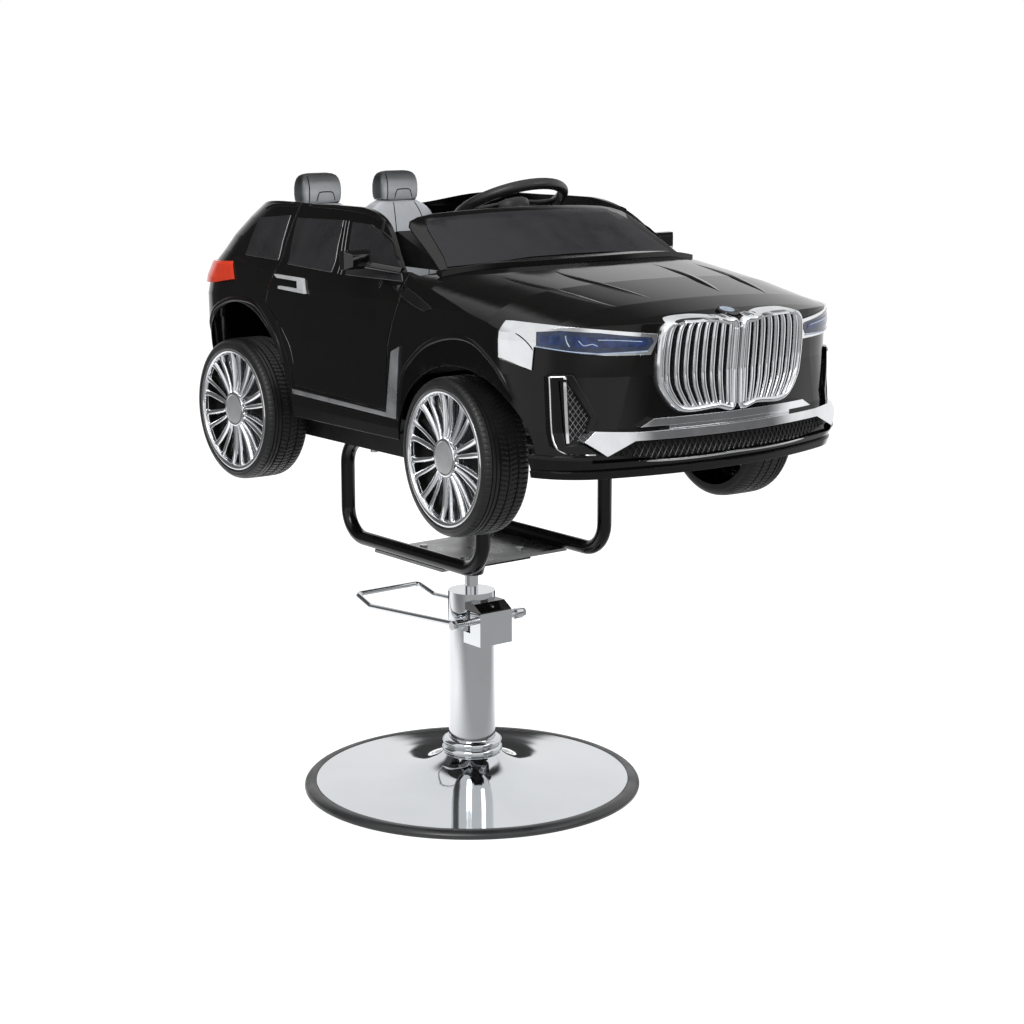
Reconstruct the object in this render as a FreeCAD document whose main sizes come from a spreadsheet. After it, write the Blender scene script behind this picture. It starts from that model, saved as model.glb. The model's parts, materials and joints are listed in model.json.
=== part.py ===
"""Hydraulic children's salon chair: a toy car body on a tube frame and a chrome pump base.

Millimetres. Origin at the centre of the base's underside on the floor, +Z up along the pump.
The car's front faces -Y, and its right side is at -X.
"""

import math
import os
import re

import FreeCAD
import Part
import Sketcher

Vector = FreeCAD.Vector
X_AXIS, Y_AXIS, Z_AXIS = Vector(1, 0, 0), Vector(0, 1, 0), Vector(0, 0, 1)
HALF_TURN = 180.0
FULL_TURN = 360.0

# Driving sizes in millimetres and degrees, counts as plain numbers.
SIZES = {
    # clearances and overrun of cutting tools
    "fit": 0.08, "seat_gap": 0.3, "overrun": 20.0,
    # base
    "base_radius": 300.0, "ring_inner": 279.0, "ring_height": 14.0, "ring_shoulder": 9.0,
    "ring_bevel": 4.0, "plate_radius": 272.0, "plate_thick": 9.0,
    "dome_top_radius": 52.0, "dome_hole_radius": 43.0, "dome_height": 60.0, "dome_wall": 1.5,
    "flange_radius": 70.0, "flange_thick": 10.0, "flange_pitch_radius": 55.0,
    "flange_bolt_radius": 5.0, "flange_bolt_head": 8.5, "flange_bolt_head_thick": 6.5,
    "flange_bolt_depth": 8.0, "flange_bolt_count": 4,
    # column
    "collar_radius": 46.5, "collar_bead": 7.2, "collar_bore": 41.65, "collar_height": 28.0,
    "sleeve_radius": 41.5, "sleeve_wall": 2.0, "sleeve_top": 346.0,
    "cylinder_radius": 30.0, "cylinder_bore": 24.0, "cylinder_top": 332.0,
    "gland_top": 356.0, "gland_spigot": 18.0,
    "rod_radius": 11.75, "rod_foot": 44.0, "rod_stub": 8.0, "rod_stub_length": 14.0,
    "head_height": 20.0, "head_gap": 0.06, "seal_width": 6.0, "seal_depth": 4.0,
    # pump block in front of the column
    "shaft_y": 48.0, "shaft_z": 312.0, "shaft_radius": 6.0, "shaft_half": 66.0,
    "block_half": 30.0, "block_front": 66.0, "block_top": 326.0, "block_bottom": 276.0,
    "cover_half": 35.0, "cover_front": 71.0, "cover_top": 329.0, "cover_bottom": 270.0,
    "cover_wall": 1.6, "cover_back": 18.0,
    "cap_front_top": 331.0, "cap_back_top": 343.0, "cap_back": 41.8,
    "cam_length": 12.0, "cam_radius": 3.0, "cam_half": 4.0,
    "plunger_radius": 3.0, "plunger_length": 22.0, "plunger_slot": 7.0,
    # pedal
    "wire_radius": 5.0, "pedal_half": 66.0, "pedal_tail_half": 72.4, "pedal_end_half": 69.7,
    "pedal_dip_y": 210.0, "pedal_end_y": 258.4, "pedal_dip_z": 295.0, "pedal_end_z": 308.0,
    "clamp_radius": 9.5, "clamp_width": 14.0, "pedal_nut_radius": 8.0, "pedal_nut_width": 7.0,
    # turning frame
    "socket_radius": 21.0, "socket_top_radius": 30.0, "socket_bottom": 385.0,
    "mount_thick": 5.0, "mount_front": 98.0, "mount_back": 101.0, "mount_half": 136.5,
    "tube_radius": 12.5, "bend_radius": 50.0,
    "loop_x": 131.4, "loop_front": 204.8, "loop_back": 189.4, "loop_low": 442.1, "loop_high": 619.9,
    "frame_bolt_radius": 4.0, "frame_bolt_head": 7.0, "frame_bolt_head_thick": 5.0,
    "frame_bolt_front": 120.0, "frame_bolt_back": 105.0, "mount_bolt_y": 60.0,
    # chassis tub
    "tub_half": 222.0, "tub_wall": 4.0, "tub_front": 221.5, "tub_back": 390.0, "floor_thick": 4.5,
    "shelf_bottom": 690.0, "shelf_thick": 4.0, "riser_front": 75.0, "riser_top": 735.0,
    "well_front_half": 170.0, "well_rear_half": 222.0,
    "ear_half": 12.0, "ear_reach": 230.0, "ear_low": 650.0, "ear_thick": 6.0, "ear_web": 150.0,
    "boss_radius": 13.0, "boss_end": 239.7,
    "hinge_y": 159.0, "hinge_inset": 14.0, "hinge_low": 774.0, "hinge_high": 854.0,
    "hinge_lug_thick": 8.0, "hinge_lug_radius": 3.8, "hinge_pin_radius": 2.5,
    "hinge_barrel_radius": 5.0, "hinge_post_depth": 8.0,
    # car body
    "body_half": 311.0, "nose_reach": 656.0, "tail_reach": 453.0, "body_bottom": 682.0,
    "belt_z": 945.0, "roof_z": 1036.0, "front_arc": 718.0, "rear_arc": 1250.0,
    "front_corner": 180.0, "rear_corner": 115.0, "body_wall": 4.0, "upper_wall": 9.0,
    "door_wall": 5.0, "door_gap": 2.4, "hood_z": 956.0, "cowl_y": 293.0, "hood_end": 215.0,
    "cockpit_front": 236.0, "arch_points": 8,
    "arch_front_y": 378.0, "arch_front_reach": 172.0, "arch_front_rise": 143.0,
    "arch_rear_y": 252.0, "arch_rear_reach": 152.0, "arch_rear_rise": 189.0, "well_gap": 6.0,
    # wheels and axles
    "axle_z": 674.4, "front_axle": 352.75, "rear_axle": 271.6, "axle_radius": 6.0,
    "tyre_radius": 123.4, "tyre_inner": 235.1, "tyre_outer": 316.5, "tyre_bevel": 9.0,
    "sidewall_radius": 117.0, "rim_radius": 107.2, "barrel_radius": 103.0, "web_outer": 296.0,
    "web_thick": 5.0, "hub_radius": 20.0, "hub_inner": 240.0, "rim_lip": 8.0, "rim_hub": 30.0,
    "spoke_thick": 6.0, "rim_dish": 7.0, "spoke_pairs": 10,
    "axle_head": 9.0, "axle_head_thick": 4.0,
    # steering
    "kingpin_x": 218.0, "kingpin_radius": 6.0, "knuckle_radius": 10.0, "arm_length": 49.0,
    "arm_half": 6.0, "arm_low": 676.0, "arm_high": 683.0, "arm_pin": 4.0, "arm_slot": 0.5,
    "steer_rest": -4.3, "tie_shift": -3.7, "tie_low": 685.0, "tie_thick": 4.0, "tie_half": 8.0,
    "wheel_x": 84.0, "wheel_y": 2.0, "wheel_z": 1024.0, "wheel_tilt": 26.0,
    "wheel_ring": 95.4, "wheel_tube": 9.8, "wheel_hub": 34.0, "wheel_hub_thick": 22.0,
    "spoke_width": 26.0, "spoke_depth": 8.0, "horn_radius": 24.0, "horn_thick": 7.0,
    "horn_travel": 2.0, "column_radius": 10.0, "column_end": 400.0, "crank_length": 30.0,
    "crank_thick": 6.0, "crank_half": 8.0, "crank_pin": 4.0, "crank_pin_length": 11.0,
    # interior
    "seat_half": 196.0, "seat_front": 62.0, "seat_rear": 322.0, "seat_top": 778.0,
    "back_top": 1012.0, "seat_spacing": 85.0, "back_half": 78.0,
    "headrest_half": 43.0, "headrest_top": 1072.0, "seat_nip": 0.22,
    "headrest_y": 343.0, "headrest_depth": 21.0,
    "dash_half": 224.0, "dash_front": 238.0, "dash_rear": 62.0, "dash_top": 990.0, "dash_low": 880.0,
    # glass and outside trim
    "glass_thick": 4.0, "shield_low_half": 262.0, "shield_high_half": 221.0,
    "shield_low_y": 300.0, "shield_high_y": 176.0, "shield_sweep": 40.0, "shield_top": 1018.0,
    "window_inset": 1.0, "window_thick": 2.0, "shield_corner": 34.0,
    "cowl_height": 9.0, "cowl_width": 15.0,
    "grille_low": 762.0, "grille_high": 899.0, "grille_half": 147.0, "grille_frame": 11.0,
    "grille_proud": 12.0, "slat_proud": 8.0, "slat_width": 5.0, "slat_count": 9,
    "badge_radius": 17.0, "badge_thick": 4.0, "badge_back": 24.0, "badge_rise": 0.794, "badge_lean": 0.75,
    "lamp_half": 318.0, "lamp_top": 896.0, "lamp_bottom": 828.0, "lamp_proud": 3.0,
    "lamp_reach": 176.0, "intake_half": 292.0, "intake_top": 824.0, "intake_bottom": 707.0,
    "intake_proud": 6.0,
    "bar_low": 727.0, "bar_high": 757.0, "bar_half": 246.0, "bar_proud": 16.0, "ledge_proud": 11.0,
    "lip_high": 696.0, "lip_tip": 706.0, "lip_proud": 7.0, "lip_drop": 11.0, "lip_reach": 116.0,
    "mesh_half": 226.0, "mesh_proud": 2.0, "trim_proud": 3.0,
    "handle_proud": 6.0, "tail_x": 240.0, "tail_proud": 6.0,
    "mirror_out": 11.0, "mirror_y": 132.0, "mirror_z": 961.0, "mirror_half": 26.0,
    "mirror_height": 30.0, "mirror_depth": 22.0, "mirror_foot_inset": 28.0, "mirror_foot_y": 200.0,
    "mirror_foot_z": 946.0,
}

# Plan of the body at each level: height share of bottom to belt, then shares of half width,
# nose reach, front corner radius and tail reach.
LOWER_LEVEL_SHARES = [
    (0.00, 0.958, 0.982, 0.61, 0.968), (0.07, 0.967, 1.000, 0.62, 0.980),
    (0.22, 0.978, 0.991, 0.78, 0.991), (0.52, 0.997, 0.991, 0.94, 1.000),
    (0.71, 1.000, 0.997, 1.00, 1.000), (0.83, 0.986, 1.000, 1.00, 0.990),
    (0.92, 0.958, 1.000, 1.00, 0.976), (1.00, 0.915, 1.000, 1.00, 0.950),
]
# Above the belt: height share of belt to roof, half width, tail reach and rear corner shares.
UPPER_LEVEL_SHARES = [
    (0.0, 0.915, 0.950, 1.0), (0.3, 0.884, 0.920, 1.12), (0.65, 0.838, 0.875, 1.30),
    (1.0, 0.788, 0.822, 1.50),
]
# Hood crown line: shares of nose reach forward, of the hood's height above the shelf, and of the
# drop towards the sides.
HOOD_LINE_SHARES = [
    (1.080, 0.760, 1.45), (0.990, 0.778, 1.45), (0.940, 0.808, 1.45), (0.854, 0.853, 1.40),
    (0.686, 0.925, 1.20), (0.447, 1.0, 1.0),
]
# Drop of the hood towards its sides: share of body half width, share of hood drop.
HOOD_DROP_SHARES = [
    (-1.08, 2.6), (-1.0, 1.35), (-0.95, 0.92), (-0.88, 0.62), (-0.75, 0.33), (-0.45, 0.08), (0.0, 0.0),
]
# Side view of the upper body: shares of nose or tail reach (front negative), height shares.
SIDE_LINE_SHARES = [
    (-0.338, -0.165), (-0.252, 0.363), (-0.180, 0.758), (-0.107, 0.945), (0.088, 1.0),
    (0.313, 0.989), (0.662, 0.901), (0.821, 0.703), (1.08, 0.45),
]
# Door outline in side view: the same shares, heights from body bottom to belt or belt to roof.
DOOR_LINE_SHARES = [
    (0.315, 1.60), (0.331, 1.26), (0.327, 0.973), (0.353, 0.821), (0.364, 0.722), (0.287, 0.608),
    (0.205, 0.289), (0.201, 0.194), (-0.279, 0.167), (-0.297, 0.563), (-0.337, 0.840),
    (-0.339, 0.958), (-0.366, 1.60),
]
# Dome cover: radius shares and height shares from the rim to the collar seat.
DOME_LINE_SHARES = [
    (1.0, 0.07), (0.86, 0.135), (0.70, 0.215), (0.55, 0.305), (0.42, 0.42), (0.32, 0.56),
    (0.245, 0.75), (0.200, 0.93), (0.188, 1.0),
]
# One bead of the collar: shares of bead reach outwards and of bead height.
BEAD_SHARES = [(0.0, 0.03), (0.62, 0.12), (1.0, 0.36), (1.0, 0.64), (0.62, 0.88), (0.0, 0.97)]
# Grip of the steering wheel: shares of its tube radius outwards and upwards.
GRIP_SHARES = [
    (1.0, 0.30), (0.72, 0.80), (0.15, 1.0), (-0.55, 0.84), (-0.95, 0.35), (-0.95, -0.35), (-0.55, -0.84),
    (0.15, -1.0), (0.72, -0.80), (1.0, -0.30),
]
# Seat back from its top down: share of height to the pan, of half width, and of the headrest's depth.
BACK_SHARES = [
    (1.0, 1.0, -2.9, -0.4), (0.42, 0.98, -2.1, 0.6), (0.14, 0.80, -1.4, 0.8), (0.0, 0.60, -1.0, 0.8),
]
# Headrest: share of its height, of half width and of depth.
HEADREST_SHARES = [
    (-0.02, 0.90, 0.85), (0.18, 0.98, 1.0), (0.70, 1.0, 1.0), (0.90, 0.91, 0.82), (1.0, 0.70, 0.45),
]
# Openings between wheel spokes: place in the step between pairs, half widths at hub and rim.
WINDOW_SHARES = [(0.0, 0.21, 0.25), (0.5, 0.08, 0.12)]
# One grille lobe: shares of grille half width and of grille height, anticlockwise.
LOBE_SHARES = [
    (0.012, 0.03), (0.30, 0.0), (0.72, 0.0), (0.94, 0.22), (1.0, 0.46), (0.985, 0.84), (0.90, 0.975),
    (0.74, 1.02), (0.42, 1.02), (0.20, 0.985), (0.012, 0.88),
]
# One headlight: shares of its half reach and of its height, the wedge at its outer end included.
LAMP_SHARES = [
    (0.462, 0.76), (0.462, 0.62), (0.49, 0.32), (0.70, 0.34), (0.83, 0.42), (0.925, 0.50), (0.93, 0.0),
    (0.955, 0.08), (1.0, 0.30), (1.0, 0.90), (0.95, 0.99), (0.925, 1.0),
]
# One intake frame with its foot, its opening, and one corner piece of the bumper bar: shares of the
# intake's half reach and of its height.
INTAKE_SHARES = [
    (0.80, 0.0), (0.94, 0.03), (0.975, 0.11), (0.975, 0.96), (0.96, 1.0), (0.895, 1.0), (0.80, 0.46),
    (0.84, 0.14), (0.79, 0.02),
]
INTAKE_GAP_SHARES = [(0.935, 0.12), (0.945, 0.92), (0.915, 0.93), (0.83, 0.46), (0.865, 0.15)]
# Bumper bar from the middle out: shares of its half reach and of its height, lower bar with its
# corner piece, then the ledge above it.
BAR_SHARES = [
    (0.0, 0.0), (0.76, 0.0), (0.94, -0.66), (1.05, 0.04), (0.99, 0.55), (0.74, 0.42), (0.0, 0.42),
]
LEDGE_SHARES = [(0.0, 0.62), (0.71, 0.62), (0.62, 1.0), (0.0, 1.0)]
# Lower grille: shares of its half reach and of the height between lip and bumper bar.
MESH_SHARES = [(0.0, 0.02), (0.67, 0.02), (0.99, 0.38), (0.83, 0.98), (0.0, 0.98)]
# Windows in side view: shares of nose or tail reach, and of belt to roof.
WINDOW_OUTLINE_SHARES = [
    [(0.350, 0.04), (0.362, 0.74), (0.56, 0.67), (0.575, 0.05)],
    [(0.268, 0.04), (0.305, 0.72), (0.006, 0.75), (-0.022, 0.04)],
    [(-0.085, 0.04), (-0.040, 0.74), (-0.118, 0.72), (-0.172, 0.63), (-0.232, 0.45), (-0.292, 0.06)],
]
# Side trims in side view: shares of nose or tail reach, and of body bottom to belt.
VENT_SHARES = [(-0.277, 0.144), (-0.318, 0.137), (-0.351, 0.574), (-0.318, 0.540)]
SILL_SHARES = [(-0.318, 0.131), (0.203, 0.154), (0.203, 0.183), (-0.318, 0.156)]
TAIL_LIGHT_SHARES = [(0.594, 0.833), (0.645, 0.943), (1.08, 0.90), (1.08, 0.765), (0.73, 0.795)]
HANDLE_SHARES = [
    (0.313, 0.899), (0.121, 0.895), (0.084, 0.806), (0.263, 0.815), (0.263, 0.833), (0.133, 0.829),
    (0.150, 0.876), (0.290, 0.880),
]

DOC = FreeCAD.newDocument("kids_car_barber_chair")
SHEET = DOC.addObject("Spreadsheet::Sheet", "sizes")
for row, (alias, value) in enumerate(SIZES.items(), start=1):
    SHEET.set(f"A{row}", alias)
    SHEET.set(f"B{row}", str(value))
    SHEET.setAlias(f"B{row}", alias)
DOC.recompute()
WORDS = re.compile(r"[a-z_]*[a-z]")
NODES = []


def size(alias):
    """Value of a driving size."""
    return float(SHEET.get(alias))


def formula(text):
    """Expression text with each driving size read from the sheet."""
    def word(match):
        return f"sizes.{match.group(0)}" if match.group(0) in SIZES else match.group(0)
    return WORDS.sub(word, str(text))


def value_of(text):
    """Number that a size expression gives."""
    names = {alias: size(alias) for alias in WORDS.findall(str(text)) if alias in SIZES}
    expression = WORDS.sub(lambda m: repr(names[m.group(0)]), str(text))
    return float(FreeCAD.Units.Quantity(expression).Value)


def bind(item, **properties):
    for name, text in properties.items():
        item.setExpression(name, formula(text))
    return item


def place(item, x="0", y="0", z="0", axis=Z_AXIS, angle=0.0):
    item.Placement = FreeCAD.Placement(Vector(), FreeCAD.Rotation(axis, angle))
    for name, text in zip("xyz", (x, y, z)):
        if str(text) != "0":
            item.setExpression(f"Placement.Base.{name}", formula(text))
    return item


def cylinder(radius, height, x="0", y="0", z="0", axis=Z_AXIS, angle=0.0):
    item = DOC.addObject("Part::Cylinder", "round")
    return place(bind(item, Radius=radius, Height=height), x, y, z, axis, angle)


def cone(low, high, height, z="0"):
    return place(bind(DOC.addObject("Part::Cone", "taper"), Radius1=low, Radius2=high, Height=height), z=z)


def box(length, width, height, x="0", y="0", z="0"):
    item = DOC.addObject("Part::Box", "block")
    return place(bind(item, Length=length, Width=width, Height=height), x, y, z)


def torus(ring, bead, x="0", y="0", z="0", axis=Z_AXIS, angle=0.0):
    item = DOC.addObject("Part::Torus", "bead")
    return place(bind(item, Radius1=ring, Radius2=bead), x, y, z, axis, angle)


def fuse(*parts):
    item = DOC.addObject("Part::MultiFuse", "joined")
    item.Shapes = list(parts)
    item.Refine = True
    return item


def cut(base, *tools):
    item = DOC.addObject("Part::Cut", "cut")
    item.Base = base
    item.Tool = tools[0] if len(tools) == 1 else fuse(*tools)
    return item


def group(*parts):
    item = DOC.addObject("Part::Compound", "set")
    item.Links = list(parts)
    return item


def solid(shape, name="form"):
    """A form set from a finished shape."""
    item = DOC.addObject("Part::Feature", name)
    item.Shape = shape
    return item


def node(item, name):
    item.Label = name
    NODES.append((name, item))
    return item


def profile(points, plane="XZ"):
    """Closed sketch through points given as pairs of size expressions."""
    sketch = DOC.addObject("Sketcher::SketchObject", "profile")
    if plane == "XZ":
        sketch.Placement = FreeCAD.Placement(Vector(), FreeCAD.Rotation(X_AXIS, HALF_TURN / 2))
    count = len(points)
    places = [Vector(value_of(u), value_of(v), 0) for u, v in points]
    for i in range(count):
        sketch.addGeometry(Part.LineSegment(places[i], places[(i + 1) % count]), False)
    for i in range(count):
        sketch.addConstraint(Sketcher.Constraint("Coincident", i, 2, (i + 1) % count, 1))
    for i, (u, v) in enumerate(points):
        for kind, text, number in (("DistanceX", u, places[i].x), ("DistanceY", v, places[i].y)):
            index = sketch.addConstraint(Sketcher.Constraint(kind, -1, 1, i, 1, number))
            sketch.setExpression(f"Constraints[{index}]", formula(text))
    return sketch


def revolved(points):
    """Solid of revolution about Z through points of radius and height."""
    item = DOC.addObject("Part::Revolution", "turned")
    item.Source = profile(points)
    item.Axis, item.Base, item.Angle, item.Solid = Z_AXIS, Vector(), FULL_TURN, True
    return item


def extruded(points, length, plane="XY", direction=Z_AXIS, symmetric=False):
    item = DOC.addObject("Part::Extrusion", "drawn")
    item.Base = profile(points, plane)
    item.DirMode, item.Dir, item.Solid, item.Symmetric = "Custom", direction, True, symmetric
    bind(item, LengthFwd=length)
    return item


# Base and column


def build_base():
    top, edge = "plate_thick", "ring_inner"
    holes = [cylinder("flange_bolt_radius", "flange_bolt_depth",
                      *polar("flange_pitch_radius", k), z="plate_thick - flange_bolt_depth")
             for k in range(int(size("flange_bolt_count")))]
    node(cut(cylinder("plate_radius", "plate_thick"), *holes), "base_plate")
    node(revolved([
        ("plate_radius + seat_gap", "0"), ("base_radius - ring_bevel / 2", "0"),
        ("base_radius", "ring_bevel / 2"), ("base_radius", "ring_shoulder"),
        ("base_radius - ring_bevel", "ring_height - ring_bevel / 4"), (edge, "ring_height"),
        (edge, top), ("plate_radius + seat_gap", top)]), "base_ring")
    node(solid(dome_shape()), "base_cover")
    bolts = []
    for k in range(int(size("flange_bolt_count"))):
        x, y = polar("flange_pitch_radius", k)
        bolts.append(fuse(
            cylinder("flange_bolt_radius", "flange_bolt_depth + flange_thick + flange_bolt_head_thick",
                     x, y, "plate_thick - flange_bolt_depth"),
            cylinder("flange_bolt_head", "flange_bolt_head_thick", x, y, "plate_thick + flange_thick")))
    node(group(*bolts), "flange_bolts")


def polar(radius, index):
    """Expressions of a place on the bolt circle, by quarter turns from the diagonal."""
    angle = math.radians(45 + 90 * index)
    return f"{radius} * ({math.cos(angle):.9f})", f"{radius} * ({math.sin(angle):.9f})"


def dome_shape():
    """Thin trumpet cover from its rim on the ring to the collar's seat."""
    rim, height, wall = size("ring_inner") - size("seat_gap"), size("dome_height"), size("dome_wall")
    low = size("plate_thick")
    outer = [Vector(rim * r, 0, low + (height - low) * h) for r, h in DOME_LINE_SHARES]
    inner = [p - Vector(0, 0, wall) for p in outer[::2]]
    inner[0] = Vector(rim - wall, 0, low)
    hole = size("dome_hole_radius")
    points = [Vector(rim, 0, low)] + outer
    points += [Vector(hole, 0, height), Vector(hole, 0, height - wall)] + inner[::-1]
    return Part.Face(Part.makePolygon(points + points[:1])).revolve(Vector(), Z_AXIS, FULL_TURN)


def build_column():
    low = "dome_height"
    beads = [("collar_bore", low)]
    for bead in (0, 1):
        beads += [(f"collar_radius + collar_bead * {u}",
                   f"{low} + collar_height / 2 * {bead} + collar_height / 2 * {v}") for u, v in BEAD_SHARES]
    beads.append(("collar_bore", f"{low} + collar_height"))
    node(revolved(beads), "column_collar")
    window = box("2 * block_half", "block_front", "cover_top - cover_bottom",
                 "-block_half", "-block_front - cylinder_radius / 3", "cover_bottom")
    floor = "(plate_thick + flange_thick)"
    node(cut(cylinder("sleeve_radius", f"sleeve_top - {floor}", z=floor),
             cylinder("sleeve_radius - sleeve_wall", "sleeve_top", z="0"), window), "pump_sleeve")
    flange = cylinder("flange_radius", "flange_thick", z="plate_thick")
    holes = [cylinder("flange_bolt_radius", "flange_thick + overrun", *polar("flange_pitch_radius", k),
                      z="plate_thick - overrun / 2") for k in range(int(size("flange_bolt_count")))]
    node(cut(fuse(flange, cylinder("cylinder_radius", f"cylinder_top - {floor}", z=floor)),
             cylinder("cylinder_bore", "cylinder_top", z=floor), *holes), "pump_cylinder")
    node(cut(fuse(cylinder("sleeve_radius - sleeve_wall - fit", "sleeve_top - cylinder_top",
                           z="cylinder_top"),
                  cylinder("sleeve_radius", "gland_top - sleeve_top", z="sleeve_top"),
                  cylinder("cylinder_bore - fit", "gland_spigot", z="cylinder_top - gland_spigot")),
             cylinder("rod_radius + fit", "gland_top", z="cylinder_top - overrun")), "pump_gland")


def build_pump_block():
    depth = "block_front - cylinder_radius / 3"
    bore = cylinder("shaft_radius + fit", "4 * block_half", "-2 * block_half", "-shaft_y", "shaft_z",
                    Y_AXIS, HALF_TURN / 2)
    slot = box("2 * cam_half + 2 * plunger_slot / 7", "cam_length + 3 * cam_radius",
               "2 * cam_length + cam_radius * 2", "-cam_half - plunger_slot / 7",
               "-shaft_y - cam_length - 2 * cam_radius", "shaft_z - cam_length - cam_radius")
    guide = cylinder("plunger_radius + fit", "block_top", "0", "-shaft_y - cam_length", "shaft_z")
    body = box("2 * block_half", depth, "block_top - block_bottom", "-block_half", "-block_front",
               "block_bottom")
    pipe = cylinder("cylinder_radius", "cylinder_top", z="plate_thick")
    node(cut(body, bore, slot, guide, pipe), "valve_block")
    outer = box("2 * cover_half", "cover_front - cover_back", "cover_top - cover_bottom",
                "-cover_half", "-cover_front", "cover_bottom")
    inner = box("2 * cover_half - 2 * cover_wall", "cover_front", "cover_top - cover_bottom + overrun",
                "-cover_half + cover_wall", "-cover_front + cover_wall", "cover_bottom - overrun / 2")
    notch = box("4 * cover_half", "shaft_y - cover_back", "shaft_z - cover_bottom",
                "-2 * cover_half", "-shaft_y + shaft_radius", "cover_bottom + overrun")
    column = cylinder("sleeve_radius + seat_gap", "cover_top", z="0")
    node(cut(outer, inner, bore, notch, column), "valve_cover")
    cap = extruded([("-cover_front", "cover_top + seat_gap"), ("-cover_back", "cover_top + seat_gap"),
                    ("-cover_back", "cap_back_top"), ("-cover_front + overrun", "cap_back_top"),
                    ("-cover_front", "cap_front_top")], "2 * cover_half - 2 * cover_wall", "XZ", -Y_AXIS,
                   True)
    turned = place(group(cap), axis=Z_AXIS, angle=HALF_TURN / 2)
    tunnel = cylinder("plunger_radius + seat_gap", "cap_back_top", "0", "-shaft_y - cam_length", "0")
    node(cut(turned, cylinder("sleeve_radius + seat_gap", "gland_top", z="0"), tunnel), "pump_top_cap")


def build_pedal():
    ends = []
    for side in ("-", ""):
        ends.append(cylinder("clamp_radius", "clamp_width", f"{side}pedal_half - clamp_width / 2",
                             "-shaft_y", "shaft_z", Y_AXIS, HALF_TURN / 2))
    shaft_line = cylinder("shaft_radius", "2 * shaft_half + 2 * overrun", "-shaft_half - overrun",
                          "-shaft_y", "shaft_z", Y_AXIS, HALF_TURN / 2)
    node(cut(fuse(solid(pedal_wire()), *ends), shaft_line), "pedal_loop")
    cam = fuse(box("2 * cam_half", "cam_length", "2 * cam_radius", "-cam_half",
                   "-shaft_y - cam_length", "shaft_z - cam_radius"),
               cylinder("cam_radius", "2 * cam_half", "-cam_half", "-shaft_y - cam_length", "shaft_z",
                        Y_AXIS, HALF_TURN / 2))
    end_half = "(pedal_half + clamp_width / 2)"
    nuts = [extruded_hex(f"{end_half}"), extruded_hex(f"-{end_half} - pedal_nut_width")]
    node(fuse(cylinder("shaft_radius", f"2 * {end_half}", f"-{end_half}", "-shaft_y", "shaft_z",
                       Y_AXIS, HALF_TURN / 2), cam, *nuts), "pedal_shaft")
    node(cylinder("plunger_radius", "plunger_length", "0", "-shaft_y - cam_length",
                  "shaft_z + cam_radius + seat_gap"), "pump_plunger")


def extruded_hex(start):
    item = DOC.addObject("Part::Prism", "hex")
    item.Polygon = 6
    bind(item, Circumradius="pedal_nut_radius", Height="pedal_nut_width")
    return place(item, start, "-shaft_y", "shaft_z", Y_AXIS, HALF_TURN / 2)


def pedal_wire():
    """Round wire from the near clamp back round the column to the far clamp."""
    y0, z0 = -size("shaft_y"), size("shaft_z")
    half = [(size("pedal_half"), y0, z0),
            (size("pedal_tail_half"), size("pedal_dip_y"), size("pedal_dip_z")),
            (size("pedal_end_half"), size("pedal_end_y"), size("pedal_end_z"))]
    points = [Vector(-x, y, z) for x, y, z in half] + [Vector(x, y, z) for x, y, z in reversed(half)]
    return tube_along(points, size("wire_radius"), 2 * size("wire_radius"))


def tube_along(points, radius, bend):
    """Round bar through straight runs joined by tangent arcs."""
    edges, start = [], points[0]
    for before, corner, after in zip(points, points[1:], points[2:]):
        to_back, to_next = (before - corner).normalize(), (after - corner).normalize()
        half_angle = to_back.getAngle(to_next) / 2
        reach = bend / math.tan(half_angle)
        near, far = corner + to_back * reach, corner + to_next * reach
        middle = (to_back + to_next).normalize()
        top = corner + middle * (bend / math.sin(half_angle) - bend)
        edges.append(Part.makeLine(start, near))
        edges.append(Part.Arc(near, top, far).toShape())
        start = far
    edges.append(Part.makeLine(start, points[-1]))
    path = Part.Wire(edges)
    section = Part.Wire(Part.makeCircle(radius, points[0], points[1] - points[0]))
    return path.makePipeShell([section], True, False)


# Piston and turning frame


def build_lift():
    foot = "(plate_thick + flange_thick)"
    low = f"({foot} + head_height / 2)"
    node(cut(cylinder("cylinder_bore - head_gap", "head_height", z=low),
             cylinder("rod_stub + fit", "rod_stub_length + fit", z=f"{low} + head_height - rod_stub_length"),
             cut(cylinder("cylinder_bore", "seal_width", z=f"{low} + seal_width"),
                 cylinder("cylinder_bore - seal_depth", "seal_width", z=f"{low} + seal_width"))),
         "piston_head")
    node(cut(cylinder("cylinder_bore - head_gap / 2", "seal_width", z=f"{low} + seal_width"),
             cylinder("cylinder_bore - seal_depth", "seal_width", z=f"{low} + seal_width")), "piston_seal")
    rod_low = f"({low} + head_height)"
    plate_low = "(loop_low - tube_radius - mount_thick)"
    node(fuse(cylinder("rod_radius", f"{plate_low} - {rod_low}", z=rod_low),
              cylinder("rod_stub", "rod_stub_length", z=f"{rod_low} - rod_stub_length")), "piston_rod")
    neck = f"({plate_low} - mount_thick * 2)"
    node(cut(fuse(cone("socket_radius", "socket_top_radius", f"{plate_low} - socket_bottom",
                       z="socket_bottom"),
                  box("2 * mount_bolt_y + 4 * frame_bolt_head", "2 * mount_bolt_y + 4 * frame_bolt_head",
                      "2 * mount_thick", "-mount_bolt_y - 2 * frame_bolt_head",
                      "-mount_bolt_y - 2 * frame_bolt_head", neck)),
             cylinder("rod_radius", "loop_low", z="0"), *mount_holes("frame_bolt_radius")), "taper_socket")


def mount_holes(radius):
    return [cylinder(radius, "loop_low", f"{a}mount_bolt_y", f"{b}mount_bolt_y", "0")
            for a in ("-", "") for b in ("-", "")]


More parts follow.
